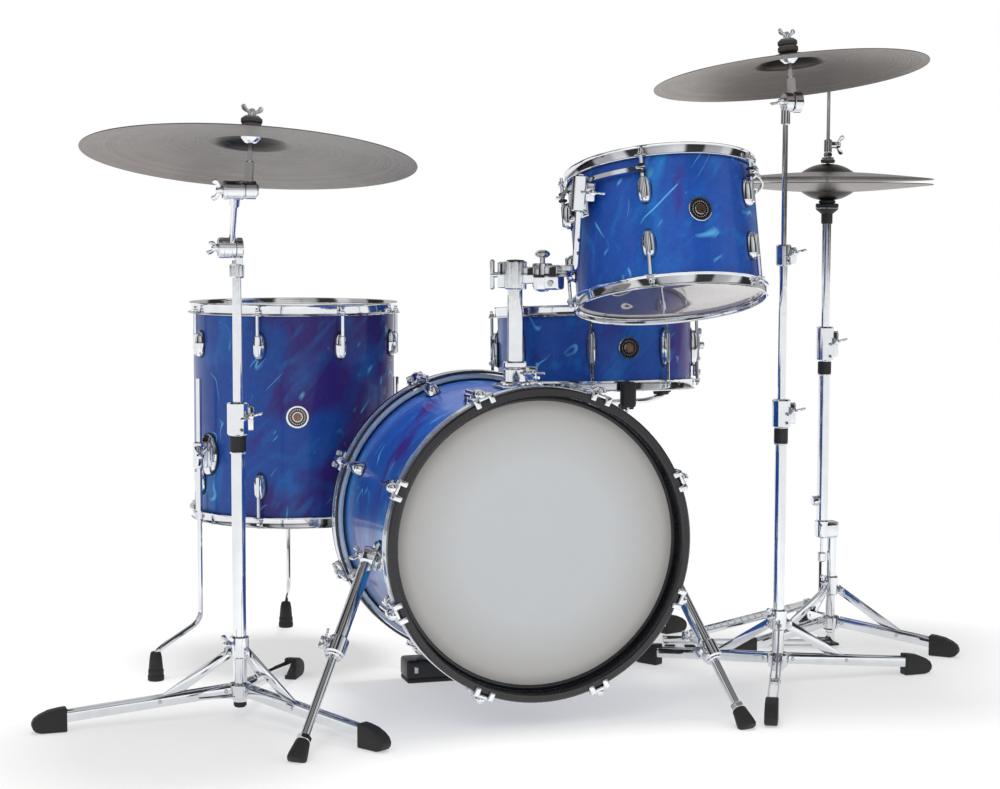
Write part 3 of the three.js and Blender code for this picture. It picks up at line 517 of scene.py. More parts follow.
def twin(piece, place):
    """A copy of a piece with its own mesh, moved to a place."""
    only(piece)
    bpy.ops.object.duplicate(linked=False)
    return put(bpy.context.object, place)


def joined(*pieces):
    pieces = list(pieces)
    only(*pieces)
    if len(pieces) > 1:
        bpy.ops.object.join()
    return bpy.context.view_layer.objects.active


def discard(piece):
    only(piece)
    bpy.ops.object.delete()


def repeated(piece, places):
    """Copies of a piece at places, joined, and the pattern piece removed."""
    copies = [twin(piece, place) for place in places]
    discard(piece)
    return joined(*copies)


def flattened_below(piece, at, normal):
    """Cuts a piece with a plane, drops what lies behind it and closes the cut."""
    editing(piece)
    bpy.ops.mesh.bisect(
        plane_co=Vector(at) * MM, plane_no=Vector(normal), use_fill=True, clear_inner=True)
    closed_up()
    return modelled()


def settle(piece, name, body, slot, *stands_for, place=None, angle=34.0):
    put(piece, KIT @ (place or Matrix.Identity(4)))
    only(piece)
    bpy.ops.object.shade_smooth_by_angle(angle=math.radians(angle))
    piece.name = name
    piece.data.name = name
    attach(piece, body)
    if stands_for:
        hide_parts(*stands_for)
    return piece


# ---- shared hardware ----
def hoop_profile(radius, edge):
    """A triple-flanged hoop's section, from a shell's radius and its bearing edge."""
    return [(radius + out, edge + up) for out, up in (
        (9.2, -6.0), (9.6, -5.2), (9.0, -4.4), (5.8, -3.6), (4.9, -2.4), (4.7, 9.0), (5.3, 11.0),
        (6.6, 12.2), (6.4, 13.2), (5.2, 13.6), (3.2, 12.6), (2.6, 10.8), (2.4, 4.6), (-0.5, 4.4),
        (-0.5, 3.6), (2.2, 3.5), (2.2, -4.2), (3.4, -5.6))]


def hoop_ear(radius, edge):
    """The tab a tension rod goes through, on the X axis side of a hoop."""
    return brick((9, 18, 2.6), (radius + 12, 0, edge - 4.6), "chrome", 0.9)


def tension_rod(radius, edge, reach):
    """A key rod with its washer and square head, from the hoop's ear down to a lug."""
    at = radius + 11
    rod = put(bar(2.9, reach, "chrome", 0.6, 10, foot=edge - 3 - reach), shift(at))
    washer = put(collar(6.2, 2.9, edge - 3.2, edge - 1.6, "chrome", 0.4, 18), shift(at))
    head = put(bar(4.9, 4.0, "chrome", 1.0, 16, foot=edge - 1.6), shift(at))
    key = brick((5.2, 5.2, 6.0), (at, 0, edge + 4.8), "chrome", 0.7)
    return joined(rod, washer, head, key)


def egg_lug(length, width, proud):
    """A rounded lug on a drum's side: it stands out along X from x = 0 and is long in Z."""
    half = length / 2
    body = lathe([
        (0, -half), (width * 0.24, -half * 0.97), (width * 0.38, -half * 0.84),
        (width * 0.47, -half * 0.55), (width * 0.5, 0), (width * 0.47, half * 0.55),
        (width * 0.38, half * 0.84), (width * 0.24, half * 0.97), (0, half),
    ], "chrome", 28)
    stretched(body, 2 * (proud - 2.5) / width)
    body = flattened_below(put(body, shift(1.4)), (1.4, 0, 0), (1, 0, 0))
    ridge = put(bar(4.3, length * 0.84, "chrome", 1.6, 20, foot=-length * 0.42), shift(proud - 4.6))
    gasket = lathe([
        (0, -1), (width * 0.5 + 0.6, -1), (width * 0.5 + 1.4, 0.2), (width * 0.5 + 0.6, 1.5), (0, 1.5),
    ], "rubber", 28)
    put(stretched(gasket, length / width), turned(90, "Y"))
    return joined(body, ridge, gasket)


def wing_screw(span=38, shaft=10):
    """A wing screw that stands up Z from its seat, wings along X."""
    boss = lathe([
        (0, -shaft), (3.2, -shaft), (3.2, -0.4), (6.2, 0), (6.6, 1.0), (5.4, 7.0), (4.4, 9.0),
        (2.6, 10.0), (0, 10.2),
    ], "chrome", 20)
    half = span / 2
    wing = plate([
        (2.5, 1.5), (8, 3.6), (half - 5, 6.2), (half - 0.8, 9.0), (half, 13.0), (half - 2.6, 16.6),
        (half - 6.6, 16.0), (9.5, 11.0), (4.4, 8.6), (2.5, 8.6),
    ], -1.9, 1.9, "chrome", 1.1, 3)
    put(wing, turned(90, "X"))
    other = twin(wing, turned(180))
    return joined(boss, wing, other)


def badge(drum, radius, angle, height, body, name):
    """A plain round badge on a drum's side."""
    rim = collar(19.5, 16.4, -1.5, 2.2, "chrome", 0.7, 48)
    field = bar(16.6, 2.6, "enamel", 0.3, 48, foot=-1.2)
    middle = bar(7.6, 3.2, "copper", 0.5, 40, foot=-1.2)
    ring = collar(8.9, 7.4, -1.0, 2.2, "chrome", 0.4, 40)
    studs = repeated(put(bar(0.9, 2.0, "chrome", 0.3, 8), shift(12.7)), [turned(15 * k) for k in range(24)])
    where = drum @ turned(angle) @ shift(radius + 0.4, 0, height) @ turned(90, "Y")
    settle(joined(rim, field, middle, ring, studs), name, body, "chrome", place=where)


def open_shell(radius, edge, skin, low_bevel=3.0):
    """A drum's wall with rounded-over bearing edges, pearl outside and maple inside."""
    wall = lathe([
        (radius, -edge + low_bevel), (radius, edge - low_bevel), (radius - low_bevel, edge),
        (radius - SHELL_WALL, edge - 4), (radius - SHELL_WALL, -edge + 4),
        (radius - low_bevel, -edge),
    ], skin, 128, ring=True)
    wall.data.materials.append(FINISHES["maple"])
    inner = (radius - SHELL_WALL / 2) * MM
    for face in wall.data.polygons:
        if math.hypot(face.center.x, face.center.y) < inner:
            face.material_index = 1
    return wall


def film_disc(radius, edge, material):
    """A head: flat over the bearing edge, with its collar turned down outside the shell."""
    return lathe([
        (0, edge + 0.5), (radius * 0.5, edge + 0.5), (radius - 4.0, edge + 0.5),
        (radius + 0.4, edge + 0.2), (radius + 1.4, edge - 2.6), (radius + 1.8, edge - 2.6),
        (radius + 1.8, edge + 1.6), (radius + 0.6, edge + 2.8), (radius - 4.0, edge + 1.5),
        (radius * 0.5, edge + 1.3), (0, edge + 1.3),
    ], material, 96)


def dressed_drum(prefix, body, place, radius, edge, skin, lugs, lug_height, lug_length, film, cad,
                 shared_lugs=False):
    """A drum's shell, both heads and hoops with ears, lugs and tension rods."""
    settle(open_shell(radius, edge, skin), prefix + "_wall", body, "blue_pearl",
           cad + "_shell", place=place)
    upside = turned(180, "X")
    rod_reach = edge - 3 - lug_height - lug_length / 2 + 12
    for side, turn, tone in (("batter", Matrix.Identity(4), film[0]), ("resonant", upside, film[1])):
        settle(film_disc(radius, edge, tone), f"{prefix}_{side}_film", body,
               "coated_film" if side == "batter" else "clear_film", f"{cad}_{side}_head",
               place=place @ turn)
        hoop = lathe(hoop_profile(radius, edge), "chrome", 128, ring=True)
        sign = 1 if side == "batter" else -1
        ears = repeated(hoop_ear(radius, edge), [turned(sign * angle) for angle in lugs])
        settle(joined(hoop, ears), f"{prefix}_{side}_rim", body, "chrome", f"{cad}_{side}_hoop",
               place=place @ turn)
        rods = repeated(tension_rod(radius, edge, rod_reach), [turned(sign * angle) for angle in lugs])
        settle(rods, f"{prefix}_{side}_rods", body, "chrome", place=place @ turn)
    lug = egg_lug(lug_length, 17 if shared_lugs else 22, 15)
    heights = (0,) if shared_lugs else (lug_height, -lug_height)
    places = [turned(angle) @ shift(radius + 0.3, 0, height) for angle in lugs for height in heights]
    settle(repeated(lug, places), prefix + "_lugs", body, "chrome", place=place)


# ---- bass drum ----
POST_X = 18


def rounded_hoop(outer, inner, low, high, material):
    return lathe([
        (inner, low), (outer - 2.5, low), (outer, low + 2.5), (outer, high - 2.5),
        (outer - 2.5, high), (inner + 2.0, high), (inner, high - 2.0),
    ], material, 160, ring=True)


def inlay_strip(outer, low, high):
    """A pearl strip let into a hoop, between two bright beads."""
    strip = collar(outer + 0.5, outer - 3, low, high, "inlay_and_highlight", 0.3, 160)
    beads = [lathe([
        (outer - 2, z - 1.0), (outer + 0.7, z - 1.0), (outer + 1.1, z), (outer + 0.7, z + 1.0),
        (outer - 2, z + 1.0)], "chrome", 160, ring=True) for z in (low - 0.8, high + 0.8)]
    return joined(strip, *beads)


def bass_claw(front):
    """A claw over a hoop on the X side: two tabs on the face, a bridge, a tension rod and its head."""
    radius, face = BASS_HOOP_RADIUS, BASS_HOOP_FACE
    bridge = brick((6.5, 33, 31), (radius + 3.8, 0, face - 14.5), "chrome", 2.2, 3)
    tabs = [brick((15, 9.5, 5), (radius - 0.6, y, face + 2.0), "chrome", 2.2, 4) for y in (-12, 12)]
    boss = put(lathe([
        (0, face - 34), (6.2, face - 34), (7.6, face - 31), (8.0, face - 20), (8.0, face - 8),
        (6.6, face - 5), (0, face - 5)], "chrome", 24), shift(radius + 9))
    rod = put(bar(3.0, face - 125, "chrome", 0.5, 12, foot=120), shift(radius + 9))
    parts = [bridge, *tabs, boss, rod]
    if front:
        parts.append(put(lathe([
            (0, face - 6), (5.6, face - 6), (6.0, face - 4.6), (5.6, face - 1.2), (3.2, face + 0.4),
            (0, face + 0.6)], "chrome", 24), shift(radius + 9)))
    else:
        stem = put(bar(4.2, 13, "chrome", 0.8, 16, foot=face - 6), shift(radius + 9))
        handle = strut((radius + 9, -15, face + 5), (radius + 9, 15, face + 5), 3.4, "chrome", 1.6)
        parts += [stem, handle]
    return joined(*parts)


def bass_lug(height):
    return put(egg_lug(44, 23, 20), shift(BASS_RADIUS + 0.3, 0, height))


def model_bass_drum():
    """The shell with its hole for the tom post, and both heads and inlaid hoops."""
    wall = open_shell(BASS_RADIUS, BASS_EDGE, "bass_pearl", 2.5)
    drill = put(bar(14.2, 60, "maple", 0.2, 32, foot=490), BASS.inverted() @ shift(POST_X))
    hollowed(wall, drill)
    settle(wall, "bass_wall", "base", "blue_pearl", "bass_shell", place=BASS)
    # Painted shade: the second colour, darker and warmer, darkens the bass head toward its hoop.
    FINISHES["bass_film"] = drum_film(
        "bass_film", (0.50, 0.505, 0.52), (0.42, 0.405, 0.395), BASS_RADIUS, BASS, 0.34)
    for side, turn in (("front", Matrix.Identity(4)), ("rear", turned(180, "X"))):
        place = BASS @ turn
        film = lathe([
            (0, 178.6), (110, 178.6), (222, 178.6), (228.8, 178.4), (230.6, 180.4), (228.0, 181.2),
            (220, 179.8), (110, 179.6), (0, 179.6)], "bass_film", 128)
        settle(film, f"bass_{side}_film", "base", "coated_film", f"bass_{side}_head", place=place)
        ply = rounded_hoop(BASS_HOOP_RADIUS, 231.6, 169.5, BASS_HOOP_FACE, "lacquer")
        low, high = (176, 196) if side == "front" else (174, 190)
        # Painted highlight: a pale inlay ring and a thin chrome line on the hoop's shell-side edge stand for
        # the glossy highlight there.
        face = lathe([(232.5, 168.9), (238.0, 168.9), (239.0, 169.3), (239.0, 171), (232.5, 171)],
                     "inlay_and_highlight", 160, ring=True)
        line = lathe([(239.2, 168.7), (240.8, 168.7), (240.8, 171), (239.2, 171)], "chrome", 160,
                     ring=True)
        settle(ply, f"bass_{side}_ply", "base", "black_lacquer", f"bass_{side}_hoop", place=place)
        settle(joined(inlay_strip(BASS_HOOP_RADIUS, low, high), face, line), f"bass_{side}_inlay", "base",
               "black_lacquer", place=place)
        seat = lathe([
            (222.5, 180.2), (224.5, 183.4), (228.0, 183.8), (231.2, 182.2), (231.2, 180.6)],
            "lacquer", 128, ring=True)
        settle(seat, f"bass_{side}_bead", "base", "chrome", place=place)


def model_bass_claws():
    for side, turn in (("front", Matrix.Identity(4)), ("rear", turned(180, "X"))):
        claws = repeated(bass_claw(side == "front"), [turned(angle) for angle in BASS_CLAW_ANGLES])
        settle(claws, f"bass_{side}_claws", "base", "chrome", place=BASS @ turn)
        lugs = repeated(bass_lug(BASS_LUG_HEIGHT), [turned(angle) for angle in BASS_CLAW_ANGLES])
        settle(lugs, f"bass_{side}_lugs", "base", "chrome", place=BASS @ turn)


# ---- bass spurs and riser ----
SPURS = {
    "left": ((-248, -92, 263), (-403, -291, 0)),
    "right": ((246, -100, 232), (311, -292, 0)),
}


def model_spurs():
    for side, (pivot, foot) in SPURS.items():
        pivot, foot = Vector(pivot), Vector(foot)
        along = (foot - pivot).normalized()
        outward = Vector((pivot.x, 0, pivot.z - BASS_HEIGHT)).normalized()
        axis = (outward - along * outward.dot(along)).normalized()
        wall = math.hypot(pivot.x, pivot.z - BASS_HEIGHT)
        seat, inward = facing(pivot, outward, Y_AXIS), wall - BASS_RADIUS

        # an egg-shaped plate with a lug end fore and aft, and the ratchet boss on it
        egg = lathe([(0, -4), (21, -4), (25, -2), (25.5, 1), (21, 4.6), (12, 6.6), (0, 7)],
                    "chrome", 40)
        put(stretched(egg, 1.28, 0.92), shift(0, 0, -inward + 3.5))
        ends = [put(bar(7.5, 10, "chrome", 2.4, 20, foot=-4), shift(x, 0, -inward + 3.5))
                for x in (-31, 31)]
        screws = [put(bar(4, 3, "nickel", 1.0, 16, foot=6), shift(x, 0, -inward + 3.2))
                  for x in (-31, 31)]
        gasket = put(bar(26, 3, "rubber", 1.0, 40, foot=-6.5), shift(0, 0, -inward + 3.5))
        stretched(gasket, 1.42, 0.94)
        settle(joined(egg, *ends, *screws, gasket), f"spur_plate_{side}", "base", "chrome",
               f"spur_bracket_{side}", place=seat)
        ratchet = facing(pivot, axis, along)
        disc = lathe([(0, -19), (15.4, -19), (16.6, -17.6), (16.6, -14), (15.8, -12.8), (0, -12.8)],
                     "nickel", 36)
        settle(disc, f"spur_ratchet_{side}", "base", "chrome", place=ratchet)

        # the tube turns on the ratchet
        hub = lathe([(0, -10.4), (15.4, -10.4), (17.2, -8.6), (17.2, 7.5), (15.6, 10), (9, 11.5), (0, 11.5)],
                    "chrome", 36)
        wing = put(wing_screw(36, 4), shift(0, 0, 11.5) @ turned(24))
        knuckle = put(joined(hub, wing), ratchet)
        tube = strut(pivot, pivot + along * 180, 10.5, "chrome", 1.0, 28)
        clamp_at = facing(pivot + along * 150, along, axis if side == "right" else -axis)
        clamp = put(collar(16, 10.5, 0, 30, "chrome", 2.6, 32), clamp_at)
        lip = put(collar(13.4, 7.3, 28, 34, "chrome", 1.6, 28), clamp_at)
        ears = put(brick((17, 7, 20), (-19, 0, 15), "chrome", 1.6), clamp_at)
        twist = put(wing_screw(34, 6), clamp_at @ shift(-20, 4, 15) @ turned(-90, "X") @ turned(90))
        settle(joined(knuckle, tube, clamp, lip, ears, twist), f"spur_arm_{side}",
               f"spur_tube_{side}", "chrome", f"spur_tube_{side}")

        rod = strut(pivot + along * 120, foot - along * 30, 7, "chrome", 1.0, 24)
        nut = put(lathe([(0, 0), (9.6, 0), (10.8, 1.4), (10.8, 8), (9.6, 9.4), (0, 9.4)], "chrome", 6),
                  facing(foot - along * 46, along))
        tip = put(lathe([(0, 0), (9.5, 0), (11, 2), (12.6, 12), (14.6, 24), (15, 31), (13.4, 34.6),
                         (8, 36), (0, 36)], "rubber", 32), facing(foot - along * 37, along))
        tip = flattened_below(tip, (0, 0, 0.4), (0, 0, 1))
        settle(joined(rod, nut, tip), f"spur_shaft_{side}", f"spur_leg_{side}", "chrome",
               f"spur_leg_{side}")


def model_riser():
    """A padded block under the drum, its top hollowed to the drum's round."""
    low, high = RISER_LOW / MM, RISER_HIGH / MM
    origin = KIT.translation / MM
    bottom_left = (low.x - origin.x, low.y - origin.y)
    top_right = (high.x - origin.x, high.y - origin.y)
    middle = ((bottom_left[0] + top_right[0]) / 2, (bottom_left[1] + top_right[1]) / 2)
    wide, deep = top_right[0] - bottom_left[0], top_right[1] - bottom_left[1]
    foot = brick((wide - 2, deep - 2, 9), (*middle, 5.2), "rubber", 3, 3)
    block = brick((wide, deep, 33), (*middle, 24), "plastic", 6, 4)
    saddle = brick((150, deep - 8, 34), (*middle, 52), "rubber", 4, 4)
    drill = put(bar(BASS_RADIUS + 1.6, 300, "rubber", 0.5, 160, foot=-250), BASS)
    hollowed(saddle, drill)
    straps = [brick((7, deep + 1, 12), (middle[0] + x, middle[1], 24), "nickel", 1.2)
              for x in (-wide / 2 + 16, wide / 2 - 16)]
    settle(joined(foot, block, saddle, *straps), "riser_block", "base", "black_rubber", "bass_riser")


# ---- rack tom and its holder ----
HOLDER = shift(POST_X, 0, 700) @ turned(-38)
TOM_ARM = [(99.95, -64, 712), (103, -78, 862)]
MOUNT_ANGLE = 196.4


def model_tom_holder():
    post = shift(POST_X)
    # two-part base bracket on the bass drum
    foot_plate = put(brick((62, 62, 4), (0, 0, 519), "chrome", 1.5), post)
    skirt = put(collar(24, 13.4, 519, 527, "chrome", 2.4, 32), post)
    barrel = put(collar(18.5, 13.2, 526, 548, "chrome", 1.6, 32), post)
    crown = put(collar(19.5, 13.2, 549, 560, "chrome", 2.2, 32), post)
    lug = put(brick((20, 24, 22), (24, 0, 540), "chrome", 2.4, 3), post)
    wing = put(wing_screw(36, 8), post @ shift(26, -12, 541) @ turned(90, "X"))
    corners = [put(bar(3.6, 3, "nickel", 1.0, 14, foot=520), post @ shift(x, y))
               for x in (-24, 24) for y in (-24, 24)]
    settle(joined(foot_plate, skirt, barrel, crown, lug, wing, *corners), "post_bracket", "base",
           "chrome", "tom_post_base")
    pole = lathe([(0, 402), (11.8, 402), (12.7, 403), (12.7, 715), (11.6, 716), (0, 716)],
                 "chrome", 36)
    settle(put(pole, post), "post_pole", "tom_post", "chrome", "tom_post")

    # the holder's clamp, T-handle, hinge housing and knob
    clamp = collar(19.5, 13.3, -23, 23, "chrome", 2.0, 40)
    jaws = brick((12, 34, 42), (-19, 0, 0), "chrome", 2.6, 3)
    seam = brick((14, 1.6, 42.6), (-20, 0, 0), "rubber", 0.3)
    cap = lathe([(0, 16.2), (14, 16.2), (15.2, 17.4), (15.2, 22.6), (13, 24.6), (0, 25.4)],
                "rubber", 32)
    shaft = strut((-22, 0, 0), (-41, 0, 0), 4.6, "chrome")
    handle = strut((-40, 0, -24), (-40, 0, 25), 4.2, "chrome", 2.2)
    neck = brick((20, 27, 27), (28, 0, 0), "chrome", 2.4, 3)
    housing = lathe([(0, -27), (8, -26), (14.4, -22), (16.4, -16), (16.4, 17), (15, 19.4), (0, 19.4)],
                    "chrome", 40)
    put(housing, shift(47))
    gap = put(collar(17.2, 8, -3.4, 1.6, "rubber", 0.6, 40), shift(47))
    cheek = brick((26, 32, 40), (67, 0, -3), "chrome", 4.5, 4)
    slot = brick((24, 33, 3.4), (68, 0, 1.5), "rubber", 0.6)
    knob = put(lathe([(0, 18), (4.4, 18), (4.4, 28), (9.4, 29.4), (12.4, 32.4), (12.4, 35.6),
                      (9.6, 39.4), (4.6, 41.2), (0, 41.6)], "chrome", 32), shift(47))
    pivot = put(lathe([(0, 2), (13.2, 2), (14.2, 3), (14.2, 5), (13.2, 6), (13.2, 7), (14.2, 8),
                       (14.2, 10), (13.2, 11), (13.2, 12), (14.2, 13), (14.2, 15.5), (13, 16.6),
                       (0, 16.6)], "nickel", 36), shift(81, 0, -4))
    screw = strut((67, -15, -12), (67, -19.5, -12), 5, "nickel")
    settle(joined(clamp, jaws, seam, cap, shaft, handle, neck, housing, gap, cheek, slot, knob, pivot, screw),
           "holder_head", "tom_holder", "chrome", "tom_holder_head", place=HOLDER)


def model_rack_tom():
    hub = HOLDER @ shift(91, 0, 12)
    disc = put(lathe([(0, -4.4), (13, -4.4), (14.2, -3.4), (14.2, 3.4), (13, 4.4), (0, 4.4)],
                     "chrome", 36), hub)
    elbow, top = (Vector(point) for point in TOM_ARM)
    arm = wire([hub.translation / MM, elbow, top], 6.3, "chrome", 22, 4, 10)
    screws = [put(bar(3.0, 3.4, "nickel", 0.8, 12),
                  facing(elbow.lerp(top, share) - Y_AXIS * 5.4, -Y_AXIS))
              for share in (0.16, 0.3)]
    settle(joined(disc, arm, *screws), "tom_arm_rod", "rack_tom", "chrome", "tom_l_arm")

    dressed_drum("tom", "rack_tom", TOM, TOM_RADIUS, TOM_EDGE, "tom_pearl", TOM_LUG_ANGLES, 44, 44,
                 ("tom_film", "tom_clear"), "tom")
    badge(TOM, TOM_RADIUS, 270.6, 6.9, "rack_tom", "tom_badge")

    # the suspension band round the top, and the bracket that grips the arm
    band = arc_bar(TOM_RADIUS + 13, 72, 79, 2.4, -49.7, 238.3, "chrome", 96)
    grommets = repeated(joined(
        collar(7.2, 3.2, 68.6, 72.2, "rubber", 0.8, 20),
        collar(6.4, 3.2, 80.0, 83.4, "rubber", 0.8, 20),
        brick((15, 15, 2.6), (4, 0, 76), "chrome", 0.8)),
        [turned(angle) @ shift(TOM_RADIUS + 11) for angle in TOM_LUG_ANGLES])
    at = turned(MOUNT_ANGLE)
    mount = put(brick((4.5, 50, 58), (TOM_RADIUS + 17, 0, 45), "chrome", 4.0, 4), at)
    tab = put(brick((9, 34, 12), (TOM_RADIUS + 11, 0, 76), "chrome", 1.4), at)
    bolts = [put(strut((TOM_RADIUS + 18, y, z), (TOM_RADIUS + 22, y, z), 3.6, "nickel"), at)
             for y in (-19, 19) for z in (24, 66)]
    settle(joined(band, grommets, mount, tab, *bolts), "tom_suspension", "rack_tom", "chrome",
           place=TOM)
    along = (top - elbow).normalized()
    centre = top - along * 30
    toward = (TOM @ at @ Vector(((TOM_RADIUS + 17) * MM, 0, 45 * MM))) / MM - centre
    grip_at = facing(centre, along, toward)
    grip = put(collar(13, 6.6, -29, 29, "chrome", 2.0, 32), grip_at)
    web = put(brick((18, 20, 46), (17, 0, 0), "chrome", 3.0, 3), grip_at)
    ears = put(brick((9, 15, 30), (-6, -16, 2), "chrome", 2.4, 3), grip_at)
    wing = put(wing_screw(40, 10), grip_at @ shift(-11, -19, 2) @ turned(-90, "Y") @ turned(90))
    settle(joined(grip, web, ears, wing), "tom_grip", "rack_tom", "chrome", "tom_mount_bracket")


# ---- floor tom ----
LEG_RADIUS, FOOT_RADIUS, BRACKET_HEIGHT = 197.8, 287.8, 383


def model_floor_tom():
    dressed_drum("floor_tom", "base", FLOOR_TOM, FLOOR_TOM_RADIUS, FLOOR_TOM_EDGE, "floor_pearl",
                 FLOOR_TOM_LUG_ANGLES, 120, 44, ("floor_film", "floor_clear"), "floor_tom")
    badge(FLOOR_TOM, FLOOR_TOM_RADIUS, 260.8, 0.3, "base", "floor_tom_badge")
    wall = FLOOR_TOM_RADIUS
    for index, angle in enumerate(FLOOR_LEG_ANGLES, 1):
        turn = shift(*FLOOR_TOM_AT) @ turned(angle)
        rod = wire([(LEG_RADIUS, 0, 516), (LEG_RADIUS, 0, 93), (268, 0, 60), (FOOT_RADIUS, 0, 48),
                    (FOOT_RADIUS, 0, 30)], 4.8, "chrome", 20, 3, 8)
        foot = lathe([(0, 0.2), (12.5, 0.2), (14, 1.8), (14, 9), (12.8, 11), (13.4, 13), (13.2, 19),
                      (11.8, 21), (12.2, 23), (10.6, 40), (9, 48), (7, 50), (0, 50)], "rubber", 32)
        put(foot, shift(FOOT_RADIUS))
        settle(joined(rod, foot), f"floor_tom_rod_{index}", f"floor_tom_leg_{index}",
               "chrome", f"floor_tom_leg_{index}", place=turn)
        # an oval backing plate, the block the leg runs through and its wing screw
        backing = lathe([(0, -1), (29, -1), (32, 1), (31, 3.4), (24, 5.4), (0, 5.8)], "chrome", 40)
        rim = stretched(bar(33.5, 3, "rubber", 1.2, 40, foot=-2.2), 1.12, 0.87)
        oval = put(joined(stretched(backing, 1.12, 0.86), rim),
                   shift(wall + 1.5, 0, BRACKET_HEIGHT) @ turned(90, "Y"))
        web = brick((12, 22, 44), (wall + 8.5, 0, BRACKET_HEIGHT), "chrome", 3.0, 3)
        sleeve = put(collar(10.6, 5.2, 360, 406, "chrome", 2.0, 28), shift(LEG_RADIUS))
        ears = brick((10, 12, 34), (wall + 28, 9, BRACKET_HEIGHT), "chrome", 2.6, 3)
        wing = put(wing_screw(38, 8),
                   shift(wall + 28, 14, BRACKET_HEIGHT) @ turned(-90, "X") @ turned(68))
        settle(joined(oval, web, sleeve, ears, wing), f"floor_tom_bracket_{index}", "base", "chrome",
               place=turn)


# ---- snare and its stand ----
BASKET_ANGLE, BASKET_REACH, BASKET_HINGE, SNARE_STAND_ANGLE = -92, 195, 430, 20


def model_snare_drum():
    dressed_drum("snare", "snare", SNARE, SNARE_RADIUS, SNARE_EDGE, "snare_pearl", SNARE_LUG_ANGLES, 0, 62,
                 ("snare_film", "snare_clear"), "snare", shared_lugs=True)
    badge(SNARE, SNARE_RADIUS, 270.8, -0.3, "snare", "snare_badge")
    wall = SNARE_RADIUS
    base = turned(THROW_ANGLE)
    # the wires under the drum, their end plates and the straps that hold them
    wires = joined(*[strut((-122, y, -SNARE_EDGE - 4.2), (122, y, -SNARE_EDGE - 4.2), 0.9, "nickel",
                           0.2, 6) for y in [-19 + 38 * k / 11 for k in range(12)]])
    ends = [brick((14, 44, 2), (x, 0, -SNARE_EDGE - 5), "nickel", 0.6) for x in (-124, 124)]
    straps = [brick((46, 24, 1.2), (x, 0, -SNARE_EDGE - 6.6), "plastic", 0.4) for x in (-152, 152)]
    settle(put(joined(wires, *ends, *straps), base), "snare_wires", "snare", "chrome", place=SNARE)

    pad = brick((12, 36, 64), (wall + 6.5, 0, -2), "chrome", 3.4, 4)
    gasket = brick((2.4, 39, 67), (wall + 0.6, 0, -2), "rubber", 0.9)
    guide = brick((9, 27, 20), (wall + 9, 0, -44), "chrome", 2.0, 3)
    clamp = brick((5, 24, 11), (wall + 15, 0, -47), "nickel", 1.2)
    bolts = [strut((wall + 12, y, 23), (wall + 15.6, y, 23), 3.2, "nickel") for y in (-12, 12)]
    settle(put(joined(pad, gasket, guide, clamp, *bolts), base), "snare_throw_plate", "snare",
           "chrome", place=SNARE)
    butt = brick((9, 34, 44), (wall + 5, 0, -10), "chrome", 3.0, 4)
    butt_gasket = brick((2.2, 37, 47), (wall + 0.5, 0, -10), "rubber", 0.9)
    butt_clamp = brick((6, 26, 13), (wall + 11, 0, -26), "nickel", 1.4)
    butt_screws = [strut((wall + 12, y, -26), (wall + 17, y, -26), 3.4, "chrome") for y in (-8, 8)]
    settle(put(joined(butt, butt_gasket, butt_clamp, *butt_screws), turned(BUTT_ANGLE)),
           "snare_butt_plate", "snare", "chrome", place=SNARE)


def model_strainer_lever():
    at = SNARE @ turned(THROW_ANGLE)
    hub = strut((SNARE_RADIUS + 12.6, -13, -22), (SNARE_RADIUS + 12.6, 13, -22), 5.2, "chrome")
    arm = brick((4.2, 17, 50), (SNARE_RADIUS + 15.4, 0, 0), "chrome", 1.9, 3)
    grip = brick((7, 22, 17), (SNARE_RADIUS + 17.4, 0, 26), "chrome", 3.0, 4)
    knob = put(lathe([(0, 0), (6.5, 0), (7.2, 1), (7.2, 7), (6, 8.4), (0, 8.8)], "chrome", 12),
               shift(SNARE_RADIUS + 17.6, 0, 2) @ turned(90, "Y"))
    settle(joined(hub, arm, grip, knob), "throw_lever", "strainer_lever", "chrome",
           "snare_strainer_lever", place=at)


